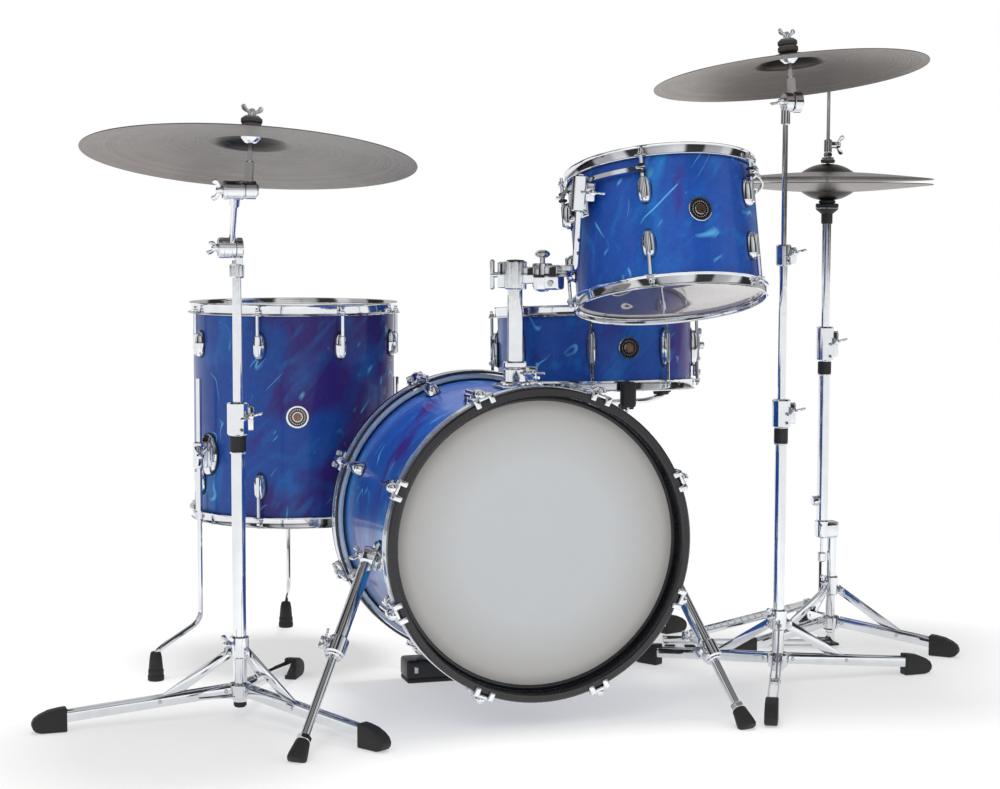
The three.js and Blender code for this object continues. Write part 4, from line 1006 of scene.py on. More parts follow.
def model_snare_stand():
    z = BASKET_HINGE
    at = shift(*SNARE_AT)
    base = [bar(10.5, 330, "chrome", 1.0, 28, foot=40), collar(14, 10.5, 30, 52, "chrome", 2, 28),
            collar(14, 10.5, 96, 122, "chrome", 2, 28), collar(15.5, 6, 330, 370, "chrome", 2.2, 28),
            bar(6.5, z - 380, "chrome", 0.8, 24, foot=360), brick((15, 10, 32), (0, -7, z - 13), "chrome", 2)]
    base += [put(bar(14.2, 9.8, "nickel", 1.2, 32, foot=-12), shift(0, 0, z) @ turned(-90, "X")),
             put(brick((14, 12, 26), (18, 0, 352), "chrome", 2), turned(200)),
             put(wing_screw(36, 8), turned(200) @ shift(20, 6, 352) @ turned(-90, "X"))]
    for step in THIRDS:
        base += [put(each, turned(SNARE_STAND_ANGLE + step))
                 for each in (*leg_parts(230), *brace_parts())]
    settle(put(joined(*base), at), "snare_stand_tripod", "base", "chrome", "snare_stand_base")

    disc = put(bar(14.2, 11.9, "chrome", 1.2, 32, foot=-1.7), shift(0, 0, z) @ turned(-90, "X"))
    neck = brick((15, 11, 26), (0, 4, z + 13), "chrome", 2.2, 3)
    hub = lathe([(0, z + 17), (14, z + 17), (17, z + 19), (17, z + 30), (13, z + 33), (0, z + 34)],
                "chrome", 32)
    parts = [disc, neck, hub]
    reach = BASKET_REACH
    for step in THIRDS:
        arm = wire([(10, 0, z + 24), (reach - 46, 0, z + 20), (reach + 4, 0, z + 28),
                    (reach + 4, 0, z + 60)], 5.2, "chrome", 20, 3, 8)
        grip = brick((15, 28, 46), (reach + 6, 0, z + 56), "rubber", 6, 4)
        hook = brick((22, 24, 9), (reach - 5, 0, z + 34), "rubber", 3, 3)
        parts += [put(each, turned(BASKET_ANGLE + step)) for each in (arm, grip, hook)]
    settle(put(joined(*parts), at), "snare_cradle", "snare", "chrome", "snare_basket")


# ---- tripods ----
HUB_HEIGHT, LEG_AT, BRACE_AT, COLLAR_AT = 46, 24, 125, (17, 106)


def leg_parts(reach=325):
    """Two straps side by side along X, held by a rubber foot that tapers to its toe."""
    tip = reach - 52
    droop = math.atan2(HUB_HEIGHT - 9 - 15, tip - LEG_AT)
    length = (tip + 4 - LEG_AT) / math.cos(droop)
    swing = shift(LEG_AT, 0, HUB_HEIGHT) @ Matrix.Rotation(droop, 4, "Y")
    straps = [put(brick((length + 8, 2.8, 17), (length / 2 - 4, side, 0), "chrome", 0.8), swing)
              for side in (-7.4, 7.4)]
    spacer = put(brick((9, 15, 9), (BRACE_AT - LEG_AT + 4, 0, 0), "chrome", 1.5), swing)
    rivets = [put(strut((x, -9.6, 0), (x, 9.6, 0), 3.6, "nickel", 1.0, 14), swing)
              for x in (0, BRACE_AT - LEG_AT + 4)]
    side = [(tip - 2, 0.5), (reach - 15, 0.5), (reach - 6, 3), (reach - 1, 9), (reach - 0.5, 15),
            (reach - 4, 22), (reach - 12, 28), (reach - 26, 34), (tip + 10, 37), (tip - 2, 38)]
    foot = plate(side, -10.5, 10.5, "rubber", 2.4, 3)
    put(foot, turned(90, "X"))
    return [*straps, spacer, *rivets, foot]


def brace_parts():
    """A flat brace from the collar's ear down into the leg's slot."""
    rise, run = COLLAR_AT[1] - (HUB_HEIGHT - 9), BRACE_AT - COLLAR_AT[0]
    length = math.hypot(rise, run)
    swing = shift(COLLAR_AT[0], 0, COLLAR_AT[1]) @ Matrix.Rotation(math.atan2(rise, run), 4, "Y")
    flat = put(brick((length + 12, 3.4, 16), (length / 2, 2.4, 0), "chrome", 1.0), swing)
    rivets = [put(strut((x, -4.4, 0), (x, 6.4, 0), 3.2, "nickel", 0.8, 14), swing)
              for x in (0, length)]
    return [flat, *rivets]


def collar_parts(tube, angle):
    """The sliding collar, the screw that locks it and an ear for each brace."""
    sleeve = collar(tube + 4.4, tube + 0.3, 97, 132, "chrome", 2.2, 32)
    screw = put(wing_screw(34, 6), turned(215) @ shift(tube + 12, 0, 122) @ turned(90, "Y"))
    ears = [put(brick((17, 3.6, 15), (COLLAR_AT[0] - 0.4, -2.1, COLLAR_AT[1]), "chrome", 1.4),
                turned(angle + step)) for step in THIRDS]
    return [sleeve, screw, *ears]


def hub_parts(tube, angle):
    """The cast hub low on the tube, an ear for each leg and a screw over each."""
    parts = [collar(tube + 7, tube - 2, HUB_HEIGHT - 14, HUB_HEIGHT + 11, "chrome", 3, 36)]
    for step in THIRDS:
        ear = brick((25, 11.4, 17), (15, 0, HUB_HEIGHT), "chrome", 2.4, 3)
        screw = bar(4.2, 3, "nickel", 1.0, 16, foot=HUB_HEIGHT + 8)
        parts += [put(ear, turned(angle + step)),
                  put(screw, turned(angle + step) @ shift(13)),
                  put(bar(1.6, 1.4, "rubber", 0.3, 8, foot=HUB_HEIGHT + 10.4),
                      turned(angle + step) @ shift(13))]
    return parts


def height_clamp(tube, low, high, band=0):
    """The split casting at the head of a tube, with its lever screw and a black band under it."""
    middle = (low + high) / 2
    parts = [
        collar(tube + 6, tube - 3, low, high, "chrome", 2.4, 36),
        brick((15, 17, (high - low) * 0.72), (tube + 6.5, 0, middle), "chrome", 2.8, 3),
        brick((16, 2, (high - low) * 0.74), (tube + 7, 0, middle), "rubber", 0.4),
    ]
    screw = put(wing_screw(36, 14), shift(tube + 8, -8, middle + 4) @ turned(90, "X") @ turned(18))
    button_at = turned(-80) @ shift(tube + 5.2, 0, low + 9) @ turned(90, "Y")
    button = put(bar(3.2, 2.6, "nickel", 0.8, 14), button_at)
    dot = put(bar(1.9, 1.2, "rubber", 0.3, 12, foot=2.2), button_at)
    parts += [screw, button, dot]
    if band:
        parts += [collar(tube + 1.8, tube - 0.5, low - band, low - 1, "rubber", 1.2, 32),
                  collar(tube + 2.4, tube - 0.5, low - band - 3, low - band, "chrome", 0.9, 32)]
    return parts


def tilter_disc(at, toward, low, high, radius=14, material="chrome"):
    """A toothed ratchet disc from low to high along a direction."""
    disc = lathe([(0, low), (radius - 1.4, low), (radius, low + 1.2), (radius, high - 1.2),
                  (radius - 1.4, high), (0, high)], material, 36)
    return put(disc, facing(at, toward))


# ---- cymbals ----
def cymbal(radius, bell, rise, bell_rise, name, body, slot_name, cad, place):
    """A cymbal whose bell's crown is at the place, sloping down -Z to its edge."""
    FINISHES[name] = lathed_bronze(name, FINISHES["colours"], place, FINISHES["cymbal_tone"][name])

    def drop(reach):
        if reach <= bell:
            return -bell_rise * (reach / bell) ** 2.3
        return -bell_rise - rise * ((reach - bell) / (radius - bell)) ** 1.28

    steps = [6.5 + (bell - 6.5) * k / 14 for k in range(14)]
    steps += [bell + (radius - bell) * k / 22 for k in range(23)]
    under = [(reach, drop(reach)) for reach in steps]
    over = [(reach, drop(reach) + 1.5) for reach in reversed(steps)]
    edge = [(radius + 0.25, drop(radius) + 0.75)]
    made = lathe(under + edge + over, name, 144, ring=True)
    return settle(made, name, body, slot_name, cad, place=place, angle=50)


def cymbal_post(centre, normal, start_at):
    """Cup, sleeve, felts and wing nut round a cymbal's hole; the stem comes from start_at."""
    place = facing(centre, normal)
    top = Vector(centre) + Vector(normal).normalized() * 38
    stem = strut(start_at, top, 3.9, "chrome", 0.8, 16)
    cup = put(lathe([(3.9, -14), (9, -14), (15.5, -8), (16.5, -5), (15, -3), (3.9, -3)],
                    "chrome", 36, ring=True), place)
    washer = put(collar(14, 4.4, -3, -0.4, "white_felt", 0.8, 32), place)
    tube = put(collar(6.0, 4.0, -3, 20, "plastic", 0.5, 20), place)
    felt = put(collar(17, 4.4, 3, 14, "felt", 2.4, 32), place)
    upper = put(collar(16.4, 4.4, 14.2, 24, "felt", 2.4, 32), place)
    cap = put(collar(12, 4.0, 24.2, 26.4, "chrome", 0.8, 32), place)
    nut = put(wing_screw(38, 0), place @ shift(0, 0, 26.6) @ turned(20))
    return [stem, cup, washer, tube, felt, upper, cap, nut]


# ---- left cymbal stand ----
LEFT_STAND = (-436, 0)
LEFT_CENTRE, LEFT_NORMAL = Vector((-425.2, -77.2, 917.6)), Vector((0.082, 0.139, 1))
LEFT_ANGLE, LEFT_SEAT, LEFT_TILTER_DROP = 182.4, 744, 87


def model_left_stand():
    at = shift(*LEFT_STAND)
    lower = [bar(11, 461, "chrome", 1.2, 32, foot=26), *hub_parts(11, LEFT_ANGLE),
             *height_clamp(11, 451, 503, 26)]
    low_plate = brick((62, 30, 3.4), (-36, 0, HUB_HEIGHT - 9), "chrome", 1.2)
    tip = lathe([(0, 18), (8, 18), (10.4, 21), (10.4, 27), (0, 27)], "rubber", 24)
    settle(put(joined(*lower, low_plate, tip), at), "left_stand_tube", "base", "chrome",
           "left_stand_lower_tube")
    settle(put(joined(*collar_parts(11, LEFT_ANGLE)), at), "left_stand_slider",
           "left_collar", "chrome", "left_stand_collar")
    for index, step in enumerate(THIRDS, 1):
        turn = at @ turned(LEFT_ANGLE + step)
        settle(put(joined(*leg_parts()), turn), f"left_stand_foot_{index}", f"left_leg_{index}",
               "chrome", f"left_stand_leg_{index}")
        settle(put(joined(*brace_parts()), turn), f"left_stand_strap_{index}", f"left_brace_{index}",
               "chrome", f"left_stand_brace_{index}")

    seat = Vector((*LEFT_STAND, LEFT_SEAT))
    upper = [bar(7.5, 494, "chrome", 0.8, 28, foot=231),
             collar(12, 7, LEFT_SEAT - 47, LEFT_SEAT - 25, "chrome", 2.4, 32),
             brick((11, 18, 33), (3.4, 0, LEFT_SEAT - 15), "chrome", 2.4, 3)]
    settle(joined(put(joined(*upper), at), tilter_disc(seat, X_AXIS, -1.6, 9, 16)),
           "left_stand_pole", "left_upper_tube", "chrome", "left_stand_upper_tube")

    up = LEFT_NORMAL.normalized()
    tilter = LEFT_CENTRE - up * LEFT_TILTER_DROP
    far = Vector((LEFT_STAND[0] - 15, tilter.y, tilter.z))
    near = Vector((LEFT_STAND[0] - 8, 0, LEFT_SEAT))
    rod = strut(near, far, 5, "chrome", 0.8, 20)
    hinge = Vector((LEFT_STAND[0], tilter.y, tilter.z))
    low_disc = tilter_disc(seat, -X_AXIS, 2.2, 29, 16)
    teeth = [tilter_disc(seat, -X_AXIS, 2.2 + 6 * k, 7 + 6 * k, 16.6) for k in (1, 3)]
    high_disc = tilter_disc(hinge, -X_AXIS, 2.2, 35, 14)
    lips = [tilter_disc(hinge, -X_AXIS, 4 + 12 * k, 9 + 12 * k, 14.8) for k in (0, 2)]
    down = (near - far).normalized()
    neck = strut(far + down * 12, far + down * 32, 8, "chrome", 1.4, 24)
    wings = [put(wing_screw(38, 6), facing(seat - X_AXIS * 29, -X_AXIS) @ turned(30)),
             put(wing_screw(36, 6), facing(hinge - X_AXIS * 35, -X_AXIS) @ turned(62))]
    settle(joined(rod, low_disc, *teeth, high_disc, *lips, neck, *wings), "left_stand_arm",
           "left_boom", "chrome", "left_stand_boom")
    parts = [*cymbal_post(LEFT_CENTRE, LEFT_NORMAL, tilter), tilter_disc(hinge, X_AXIS, -1.6, 16, 14),
             tilter_disc(hinge, X_AXIS, 15, 19, 9, "nickel"),
             strut(tilter, tilter + up * 44, 7, "chrome", 1.6, 24)]
    settle(joined(*parts), "left_stand_tilter_head", "left_tilter", "chrome",
           "left_stand_cymbal_tilter")
    cymbal(254, 58, 24, 16, "left_crash", "left_cymbal", "bronze", "left_stand_cymbal",
           facing(LEFT_CENTRE, LEFT_NORMAL))


# ---- right cymbal stand ----
RIGHT_STAND = (480, -27)
RIGHT_CENTRE, RIGHT_NORMAL = Vector((488, -17.5, 1066)), Vector((-0.064, 0.117, 1))
RIGHT_ANGLE, RIGHT_LEG_REACH, RIGHT_TILTER_DROP = 3.5, 300, 80


def whole_base(tube, angle, reach, top):
    """A stand's lowest tube with its whole tripod."""
    parts = [bar(tube, top - 26, "chrome", 1.2, 32, foot=26), *hub_parts(tube, angle),
             *collar_parts(tube, angle)]
    for step in THIRDS:
        parts += [put(each, turned(angle + step)) for each in (*leg_parts(reach), *brace_parts())]
    return parts


def model_right_stand():
    at = shift(*RIGHT_STAND)
    base = whole_base(10, RIGHT_ANGLE, RIGHT_LEG_REACH, 470) + height_clamp(10, 442, 490, 26)
    settle(put(joined(*base), at), "right_stand_tripod", "base", "chrome", "right_stand_base")
    middle = [bar(6.8, 500, "chrome", 0.8, 28, foot=231), *height_clamp(6.8, 714, 750)]
    settle(put(joined(*middle), at), "right_stand_pole", "right_middle_tube", "chrome",
           "right_stand_middle_tube")
    up = RIGHT_NORMAL.normalized()
    tilter = RIGHT_CENTRE - up * RIGHT_TILTER_DROP
    high = tilter.z
    rod = put(bar(4.5, high - 560, "chrome", 0.8, 24, foot=560), at)
    neck = put(collar(7.8, 4.4, high - 38, high - 12, "chrome", 1.8, 28), at)
    hinge = Vector((*RIGHT_STAND, high))
    parts = [rod, neck, tilter_disc(hinge, X_AXIS, -4, 10, 16), tilter_disc(hinge, X_AXIS, 11, 26, 17.6),
             tilter_disc(hinge, X_AXIS, 25, 29, 11, "nickel"),
             put(wing_screw(42, 6), facing(hinge - X_AXIS * 4, -X_AXIS) @ turned(8)),
             strut(tilter, tilter + up * 42, 7.4, "chrome", 1.6, 24)]
    parts += cymbal_post(RIGHT_CENTRE, RIGHT_NORMAL, tilter)
    settle(joined(*parts), "right_stand_tilter_head", "right_rod", "chrome", "right_stand_cymbal_rod")
    cymbal(228.6, 58, 22, 16, "right_crash", "right_cymbal", "bronze", "right_stand_cymbal",
           facing(RIGHT_CENTRE, RIGHT_NORMAL))


# ---- hi-hat ----
HAT = (693, 250)
HAT_ANGLE, HAT_LEG_REACH, PEDAL_ANGLE, HINGE, PEDAL_RISE = -42.5, 242, 162, (250, 16), 15
HAT_BOTTOM_CROWN, HAT_TOP_CROWN = 830, 894


def model_hi_hat():
    at = shift(*HAT)
    legs = [put(each, shift(20)) for each in whole_base(9.5, HAT_ANGLE, HAT_LEG_REACH, 222)]
    bracket = brick((40, 25, 31), (10, 0, 220), "chrome", 5, 4)
    saddle = collar(13.5, 10, 205, 238, "chrome", 2.4, 32)
    tube = collar(10.5, 8.2, 232, 545, "chrome", 0.8, 32)
    knob = put(lathe([(0, 0), (7, 0), (9.5, 2), (9.5, 9), (7.5, 11), (0, 11)], "chrome", 16),
               shift(-10, 0, 274) @ turned(-90, "Y"))
    clamp = height_clamp(10.5, 534, 597, 24)
    foot_plate = brick((36, 62, 5), (7, 0, 8), "plastic", 2)
    riser = brick((14, 13, 36), (20, 0, 25), "chrome", 2)
    screws = [put(bar(3.6, 3, "nickel", 0.9, 14, foot=10), shift(7, y)) for y in (-22, 0, 22)]
    turn = turned(PEDAL_ANGLE)
    heel = put(brick((64, 56, 11), (262, 0, 6.5), "chrome", 2.4, 3), turn)
    pads = [put(brick((20, 18, 5), (x, y, 3), "rubber", 2), turn) for x in (244, 282) for y in (-30, 30)]
    rails = [put(strut((8, y, 5), (246, y, 5), 2.8, "chrome"), turn) for y in (-24, 24)]
    pin = put(strut((HINGE[0], -25, HINGE[1]), (HINGE[0], 25, HINGE[1]), 4.6, "nickel"), turn)
    ears = [put(brick((13, 5, 20), (HINGE[0], y, 12), "chrome", 2), turn) for y in (-24, 24)]
    settle(put(joined(*legs, bracket, saddle, tube, knob, *clamp, foot_plate, riser, *screws, heel,
                      *pads, *rails, pin, *ears), at),
           "hi_hat_tripod", "base", "chrome", "hi_hat_base")

    upper = [collar(8, 4.2, 331, 800, "chrome", 0.8, 28),
             lathe([(4.2, 786), (9.6, 786), (10.4, 788), (10.4, 804), (19, 811), (21, 814), (4.2, 814)],
                   "rubber", 36, ring=True), collar(21.4, 4.2, 814, 815.6, "chrome", 0.5, 36),
             collar(21, 4.2, 815.6, 823, "rubber", 1.6, 36), collar(15.4, 4.2, 823, 829, "felt", 2, 32)]
    settle(put(joined(*upper), at), "hi_hat_pole", "hat_upper_tube", "chrome", "hi_hat_upper_tube")
    cymbal(190.5, 48, 12, 16, "hat_bottom", "hat_upper_tube", "bronze", "hi_hat_bottom_cymbal",
           shift(*HAT, HAT_BOTTOM_CROWN) @ turned(180, "X"))
    cymbal(190.5, 48, 12, 16, "hat_top", "hat_rod", "bronze", "hi_hat_top_cymbal",
           shift(*HAT, HAT_TOP_CROWN))

    clutch = HAT_TOP_CROWN
    pull = [
        bar(3.2, 926, "chrome", 1.2, 18, foot=176),
        bar(8, 17, "chrome", 1.6, 24, foot=160), brick((3, 7, 80), (-2, 0, 124), "plastic", 0.8),
        brick((11, 12, 12), (-2, 0, 90), "chrome", 2),
        collar(13, 3.4, clutch + 2.8, clutch + 10, "felt", 2, 32),
        collar(10, 3.4, clutch - 9, clutch - 2, "felt", 1.6, 28),
        collar(9, 3.4, clutch - 13, clutch - 9.4, "chrome", 1.0, 28),
        collar(11, 3.4, clutch + 10.4, clutch + 13.6, "chrome", 1.0, 28),
        collar(8.4, 3.3, clutch + 14, clutch + 22, "chrome", 1.4, 6),
        collar(7.2, 3.3, clutch + 22, clutch + 46, "chrome", 1.6, 28),
        brick((14, 10, 12), (9, 0, clutch + 36), "chrome", 2.2, 3),
        put(wing_screw(36, 2), shift(15, 0, clutch + 36) @ turned(90, "Y") @ turned(12)),
    ]
    settle(put(joined(*pull), at), "hi_hat_rod", "hat_rod", "chrome", "hi_hat_pull_rod")

    swing = turn @ shift(HINGE[0], 0, HINGE[1]) @ turned(PEDAL_RISE, "Y")
    board = brick((228, 40, 4.4), (-122, 0, 4), "chrome", 1.6)
    ribs = [brick((3, 30, 1.8), (-30 - 13 * k, 0, 6.8), "nickel", 0.6) for k in range(14)]
    edges = [brick((224, 2.6, 8), (-122, y, 3), "chrome", 1) for y in (-20, 20)]
    toe = brick((15, 16, 15), (-235, 0, 5), "chrome", 3, 3)
    axle = strut((-235, -10, 6), (-235, 10, 6), 3.2, "nickel")
    settle(put(joined(board, *ribs, *edges, toe, axle), at @ swing), "hi_hat_footboard", "hat_pedal",
           "chrome", "hi_hat_pedal")


# ---- floor, light and camera ----
CAMERA_AT = (-938, -3109, 772.6)
CAMERA_YAW, CAMERA_PITCH, CAMERA_ROLL = 0.2909, 0.082, 0.003
CAMERA_LENS = 72


def model_floor(look):
    bpy.ops.object.select_all(action="DESELECT")
    bpy.ops.mesh.primitive_plane_add(size=1, location=KIT.translation)
    floor = bpy.context.object
    put(stretched(floor, 60, 60), Matrix.Identity(4))
    floor.name = "studio_floor"
    made, tree, shader, where = start("studio_floor", Roughness=0.9, Specular_IOR_Level=0.0)
    tone = ramp(tree, noise(tree, where, 0.8, 2.0), [(0.3, look.floor), (0.7, look.floor * 1.01)])
    tree.links.new(tone, shader.inputs["Base Color"])
    near = scaled(tree, where, (1, 1, 0), (0, 0, 0), tuple(-KIT.translation))
    reach = node(tree, "ShaderNodeVectorMath", {0: near}, operation="LENGTH").outputs["Value"]
    fade = node(tree, "ShaderNodeMapRange", {
        "Value": reach, "From Min": look.fade_from, "From Max": look.fade_to,
        "To Min": look.floor_glow, "To Max": 1.0}).outputs[0]
    glow = node(tree, "ShaderNodeEmission", {"Color": (1, 1, 1, 1), "Strength": 1.0})
    blend = tree.nodes.new("ShaderNodeMixShader")
    tree.links.new(fade, blend.inputs[0])
    tree.links.new(shader.outputs[0], blend.inputs[1])
    tree.links.new(glow.outputs[0], blend.inputs[2])
    tree.links.new(blend.outputs[0], tree.nodes["Material Output"].inputs["Surface"])
    floor.data.materials.append(made)
    return floor


# Each light's name, place, target, width and height in metres.
LIGHTS = (
    ("key_light", (-1500, -2300, 2600), (100, 0, 500), 2.2, 1.8),
    ("fill_light", (2300, -1500, 1700), (100, 0, 500), 2.0, 1.6),
    ("top_light", (60, 250, 4000), (60, 50, 300), 1.3, 1.1),
)


def model_light(name, at, toward, wide, high, power):
    """A soft light that polished pieces don't mirror."""
    light = bpy.data.lights.new(name, "AREA")
    light.shape = "RECTANGLE"
    light.size, light.size_y, light.energy = wide, high, power
    made = bpy.data.objects.new(name, light)
    bpy.context.scene.collection.objects.link(made)
    made.matrix_world = KIT @ facing(at, Vector(at) - Vector(toward), X_AXIS)
    made.visible_glossy = False
    return made


# What polished metal mirrors, going round the room from the camera: [degrees, brightness].
ROOM_STRIPS = (
    (-180, 0.8), (-125, 0.8), (-120, 0.04), (-92, 0.04), (-88, 0.6), (-66, 0.6), (-60, 0.95),
    (-48, 0.95), (-44, 0.05), (-24, 0.05), (-18, 0.6), (0, 0.72), (14, 0.95), (26, 0.95),
    (30, 0.05), (52, 0.05), (56, 0.5), (76, 0.6), (82, 0.95), (92, 0.95), (96, 0.04), (122, 0.04),
    (126, 0.6), (150, 0.7), (180, 0.8))


def studio_sky(look):
    world = bpy.data.worlds.new("studio")
    world.use_nodes = True
    tree = world.node_tree
    even = tree.nodes["Background"]
    even.inputs["Color"].default_value = (1, 1, 1, 1)
    even.inputs["Strength"].default_value = look.sky
    where = node(tree, "ShaderNodeTexCoord").outputs["Generated"]
    facing_camera = scaled(tree, where, (1, 1, 1), (0, 0, CAMERA_YAW + math.pi / 2))
    parts = node(tree, "ShaderNodeSeparateXYZ", {"Vector": facing_camera})
    height = multiplied(tree, parts.outputs["Z"], 0.5, 0.5)
    walls = ramp(tree, height, [
        (0.0, 0.9), (0.495, 0.9), (0.5, 0.25), (0.52, 0.25), (0.53, 0.8), (0.62, 0.85), (0.7, 1.0),
        (0.86, 1.0), (0.88, 0.5), (1.0, 0.45)])
    around = node(tree, "ShaderNodeMath", {0: parts.outputs["Y"], 1: parts.outputs["X"]},
                  operation="ARCTAN2").outputs[0]
    share = multiplied(tree, around, 0.5 / math.pi, 0.5)
    strips = ramp(tree, share, [(angle / 360 + 0.5, value) for angle, value in ROOM_STRIPS])
    room = node(tree, "ShaderNodeBackground", {
        "Color": mixed(tree, 1.0, walls, strips, "MULTIPLY"), "Strength": look.mirror})
    seen = node(tree, "ShaderNodeBackground", {"Color": (1, 1, 1, 1), "Strength": 1.0})
    rays = node(tree, "ShaderNodeLightPath").outputs
    shader = even.outputs[0]
    for ray, other in (("Is Glossy Ray", room), ("Is Camera Ray", seen)):
        pick = tree.nodes.new("ShaderNodeMixShader")
        tree.links.new(rays[ray], pick.inputs[0])
        tree.links.new(shader, pick.inputs[1])
        tree.links.new(other.outputs[0], pick.inputs[2])
        shader = pick.outputs[0]
    tree.links.new(shader, tree.nodes["World Output"].inputs["Surface"])
    bpy.context.scene.world = world


def model_stage(look):
    scene = bpy.context.scene
    lights = [model_light(*light, power) for light, power in zip(LIGHTS, (look.key, look.fill, look.top))]
    model_floor(look)
    studio_sky(look)
    scene.view_settings.view_transform = "Standard"

    level = Vector((math.cos(CAMERA_YAW), -math.sin(CAMERA_YAW), 0))
    forward = Vector((math.sin(CAMERA_YAW) * math.cos(CAMERA_PITCH),
                      math.cos(CAMERA_YAW) * math.cos(CAMERA_PITCH), -math.sin(CAMERA_PITCH)))
    upward = level.cross(forward)
    right = level * math.cos(CAMERA_ROLL) + upward * math.sin(CAMERA_ROLL)
    data = bpy.data.cameras.new("camera")
    data.sensor_width, data.lens = 36, CAMERA_LENS
    data.clip_end = 100
    camera = bpy.data.objects.new("camera", data)
    scene.collection.objects.link(camera)
    camera.matrix_world = KIT @ facing(CAMERA_AT, -forward, right)
    scene.camera = camera


# ---- settings, operators and panel ----
def colour(name, description, default):
    return bpy.props.FloatVectorProperty(
        name=name, description=description, default=default, subtype="COLOR", size=3, min=0, max=1)


class DrumKitColours(bpy.types.PropertyGroup):
    shell_blue: colour("Shell blue", "Main colour of the pearl wrap", (0.012, 0.085, 0.44))
    shell_violet: colour("Shell violet", "Darkest clouds of the pearl wrap", (0.042, 0.022, 0.25))
    shell_azure: colour("Shell azure", "Lightest clouds of the pearl wrap", (0.008, 0.21, 0.66))
    shell_streak: colour("Shell strokes", "Thin pale strokes of the pearl wrap", (0.16, 0.62, 0.86))
    # This colour is also used for the ring on the bass hoops' shell-side edge, a painted highlight.
    inlay_and_highlight: colour("Hoop inlay", "Pearl strip let into the bass drum's hoops", (0.34, 0.44, 0.6))
    chrome: colour("Chrome", "Plating of the hardware", (0.82, 0.84, 0.87))
    bronze: colour("Bronze", "Cymbal metal", (0.215, 0.185, 0.172))


class DrumKitStudio(bpy.types.PropertyGroup):
    floor: bpy.props.FloatProperty(
        name="Floor", description="How pale the floor is", default=0.75, min=0, max=1)
    floor_glow: bpy.props.FloatProperty(
        name="Shadow lift", description="How far the floor's shadows are lifted", default=0.45,
        min=0, max=1)
    fade_from: bpy.props.FloatProperty(
        name="Fade from", description="Where the floor starts to melt away", default=1.1, min=0,
        unit="LENGTH")
    fade_to: bpy.props.FloatProperty(
        name="Fade to", description="Where the floor has melted away", default=2.6, min=0,
        unit="LENGTH")
    sky: bpy.props.FloatProperty(
        name="Sky", description="Strength of the even light", default=0.7, min=0, max=10)
    mirror: bpy.props.FloatProperty(
        name="Room", description="Brightness of the room in polished metal", default=0.85, min=0,
        max=10)
    key: bpy.props.FloatProperty(
        name="Key light", description="Light from the front left", default=42, min=0, unit="POWER")
    fill: bpy.props.FloatProperty(
        name="Fill light", description="Light from the right", default=15, min=0, unit="POWER")
    top: bpy.props.FloatProperty(
        name="Top light", description="Light from overhead", default=150, min=0, unit="POWER")


class PieceOperator:
    bl_options = {"REGISTER", "UNDO"}

    def execute(self, context):
        self.model(context)
        return {"FINISHED"}


class DRUMKIT_OT_finishes(PieceOperator, bpy.types.Operator):
    """Makes the materials every piece is finished in"""
    bl_idname = "drum_kit.finishes"
    bl_label = "Finishes"

    def model(self, context):
        colours = context.scene.drum_kit_colours
        make_finishes(colours)
        FINISHES["colours"] = colours
        # Painted light and shade: each cymbal gets a lighter or darker copy of the bronze, the lower hi-hat
        # cymbal darker than the upper.
        FINISHES["cymbal_tone"] = {
            "left_crash": 0.95, "right_crash": 1.2, "hat_bottom": 0.9, "hat_top": 1.1}
        for prefix, place, radius in (("tom", TOM, TOM_RADIUS), ("snare", SNARE, SNARE_RADIUS),
                                      ("floor", FLOOR_TOM, FLOOR_TOM_RADIUS)):
            # Painted shade: the second, darker colour darkens each head toward its hoop.
            FINISHES[prefix + "_film"] = drum_film(
                prefix + "_film", (0.66, 0.66, 0.65), (0.56, 0.55, 0.53), radius, place)
            FINISHES[prefix + "_clear"] = clear_film(prefix + "_clear", place)


class DRUMKIT_OT_bass_drum(PieceOperator, bpy.types.Operator):
    """Models the bass drum's shell, heads and inlaid hoops"""
    bl_idname = "drum_kit.bass_drum"
    bl_label = "Bass drum"

    def model(self, context):
        model_bass_drum()


class DRUMKIT_OT_bass_claws(PieceOperator, bpy.types.Operator):
    """Models the claws, tension rods and lugs of the bass drum"""
    bl_idname = "drum_kit.bass_claws"
    bl_label = "Bass claws and lugs"

    def model(self, context):
        model_bass_claws()


class DRUMKIT_OT_spurs(PieceOperator, bpy.types.Operator):
    """Models the two folding spurs of the bass drum"""
    bl_idname = "drum_kit.spurs"
    bl_label = "Spurs"

    def model(self, context):
        model_spurs()


class DRUMKIT_OT_riser(PieceOperator, bpy.types.Operator):
    """Models the padded block under the bass drum"""
    bl_idname = "drum_kit.riser"
    bl_label = "Riser"

    def model(self, context):
        model_riser()


class DRUMKIT_OT_tom_holder(PieceOperator, bpy.types.Operator):
    """Models the tom post, its bracket and the hinged holder"""
    bl_idname = "drum_kit.tom_holder"
    bl_label = "Tom holder"

    def model(self, context):
        model_tom_holder()


class DRUMKIT_OT_rack_tom(PieceOperator, bpy.types.Operator):
    """Models the rack tom with its arm and suspension band"""
    bl_idname = "drum_kit.rack_tom"
    bl_label = "Rack tom"

    def model(self, context):
        model_rack_tom()


class DRUMKIT_OT_floor_tom(PieceOperator, bpy.types.Operator):
    """Models the floor tom and its three legs"""
    bl_idname = "drum_kit.floor_tom"
    bl_label = "Floor tom"

    def model(self, context):
        model_floor_tom()


class DRUMKIT_OT_snare_drum(PieceOperator, bpy.types.Operator):
    """Models the snare drum, its wires and strainer"""
    bl_idname = "drum_kit.snare_drum"
    bl_label = "Snare drum"

    def model(self, context):
        model_snare_drum()
        model_strainer_lever()


class DRUMKIT_OT_snare_stand(PieceOperator, bpy.types.Operator):
    """Models the snare stand and its cradle"""
    bl_idname = "drum_kit.snare_stand"
    bl_label = "Snare stand"

    def model(self, context):
        model_snare_stand()


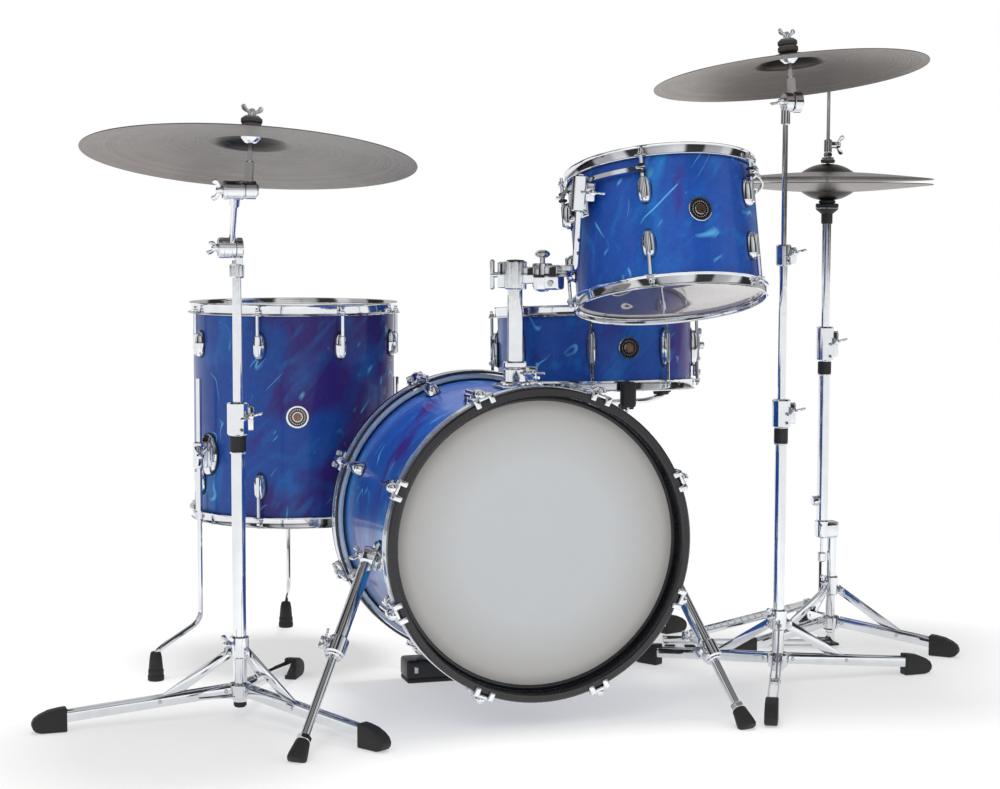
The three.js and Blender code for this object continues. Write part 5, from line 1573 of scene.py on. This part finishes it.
class DRUMKIT_OT_left_stand(PieceOperator, bpy.types.Operator):
    """Models the left cymbal stand with its folding legs and cymbal"""
    bl_idname = "drum_kit.left_stand"
    bl_label = "Left cymbal stand"

    def model(self, context):
        model_left_stand()


class DRUMKIT_OT_right_stand(PieceOperator, bpy.types.Operator):
    """Models the right cymbal stand and its cymbal"""
    bl_idname = "drum_kit.right_stand"
    bl_label = "Right cymbal stand"

    def model(self, context):
        model_right_stand()


class DRUMKIT_OT_hi_hat(PieceOperator, bpy.types.Operator):
    """Models the hi-hat stand, pedal and cymbals"""
    bl_idname = "drum_kit.hi_hat"
    bl_label = "Hi-hat"

    def model(self, context):
        model_hi_hat()


class DRUMKIT_OT_stage(PieceOperator, bpy.types.Operator):
    """Sets out the floor, the lights and the camera"""
    bl_idname = "drum_kit.stage"
    bl_label = "Stage"

    def model(self, context):
        model_stage(context.scene.drum_kit_studio)


OPERATORS = (
    DRUMKIT_OT_finishes, DRUMKIT_OT_bass_drum, DRUMKIT_OT_bass_claws, DRUMKIT_OT_spurs,
    DRUMKIT_OT_riser, DRUMKIT_OT_tom_holder, DRUMKIT_OT_rack_tom, DRUMKIT_OT_floor_tom,
    DRUMKIT_OT_snare_drum, DRUMKIT_OT_snare_stand, DRUMKIT_OT_left_stand, DRUMKIT_OT_right_stand,
    DRUMKIT_OT_hi_hat, DRUMKIT_OT_stage,
)


class DRUMKIT_PT_panel(bpy.types.Panel):
    bl_idname = "DRUMKIT_PT_panel"
    bl_label = "Drum kit"
    bl_space_type = "VIEW_3D"
    bl_region_type = "UI"
    bl_category = "Drum kit"

    def draw(self, context):
        for each in OPERATORS:
            self.layout.operator(each.bl_idname)
        for group in (context.scene.drum_kit_colours, context.scene.drum_kit_studio):
            for name in group.__annotations__:
                self.layout.prop(group, name)


CLASSES = (DrumKitColours, DrumKitStudio, *OPERATORS, DRUMKIT_PT_panel)


def register():
    for each in CLASSES:
        bpy.utils.register_class(each)
    bpy.types.Scene.drum_kit_colours = bpy.props.PointerProperty(type=DrumKitColours)
    bpy.types.Scene.drum_kit_studio = bpy.props.PointerProperty(type=DrumKitStudio)


def unregister():
    del bpy.types.Scene.drum_kit_studio
    del bpy.types.Scene.drum_kit_colours
    for each in reversed(CLASSES):
        bpy.utils.unregister_class(each)


def main():
    register()
    bpy.ops.drum_kit.finishes()
    bpy.ops.drum_kit.bass_drum()
    bpy.ops.drum_kit.bass_claws()
    bpy.ops.drum_kit.spurs()
    bpy.ops.drum_kit.riser()
    bpy.ops.drum_kit.tom_holder()
    bpy.ops.drum_kit.rack_tom()
    bpy.ops.drum_kit.floor_tom()
    bpy.ops.drum_kit.snare_drum()
    bpy.ops.drum_kit.snare_stand()
    bpy.ops.drum_kit.left_stand()
    bpy.ops.drum_kit.right_stand()
    bpy.ops.drum_kit.hi_hat()
    bpy.ops.drum_kit.stage()


if __name__ == "__main__":
    main()
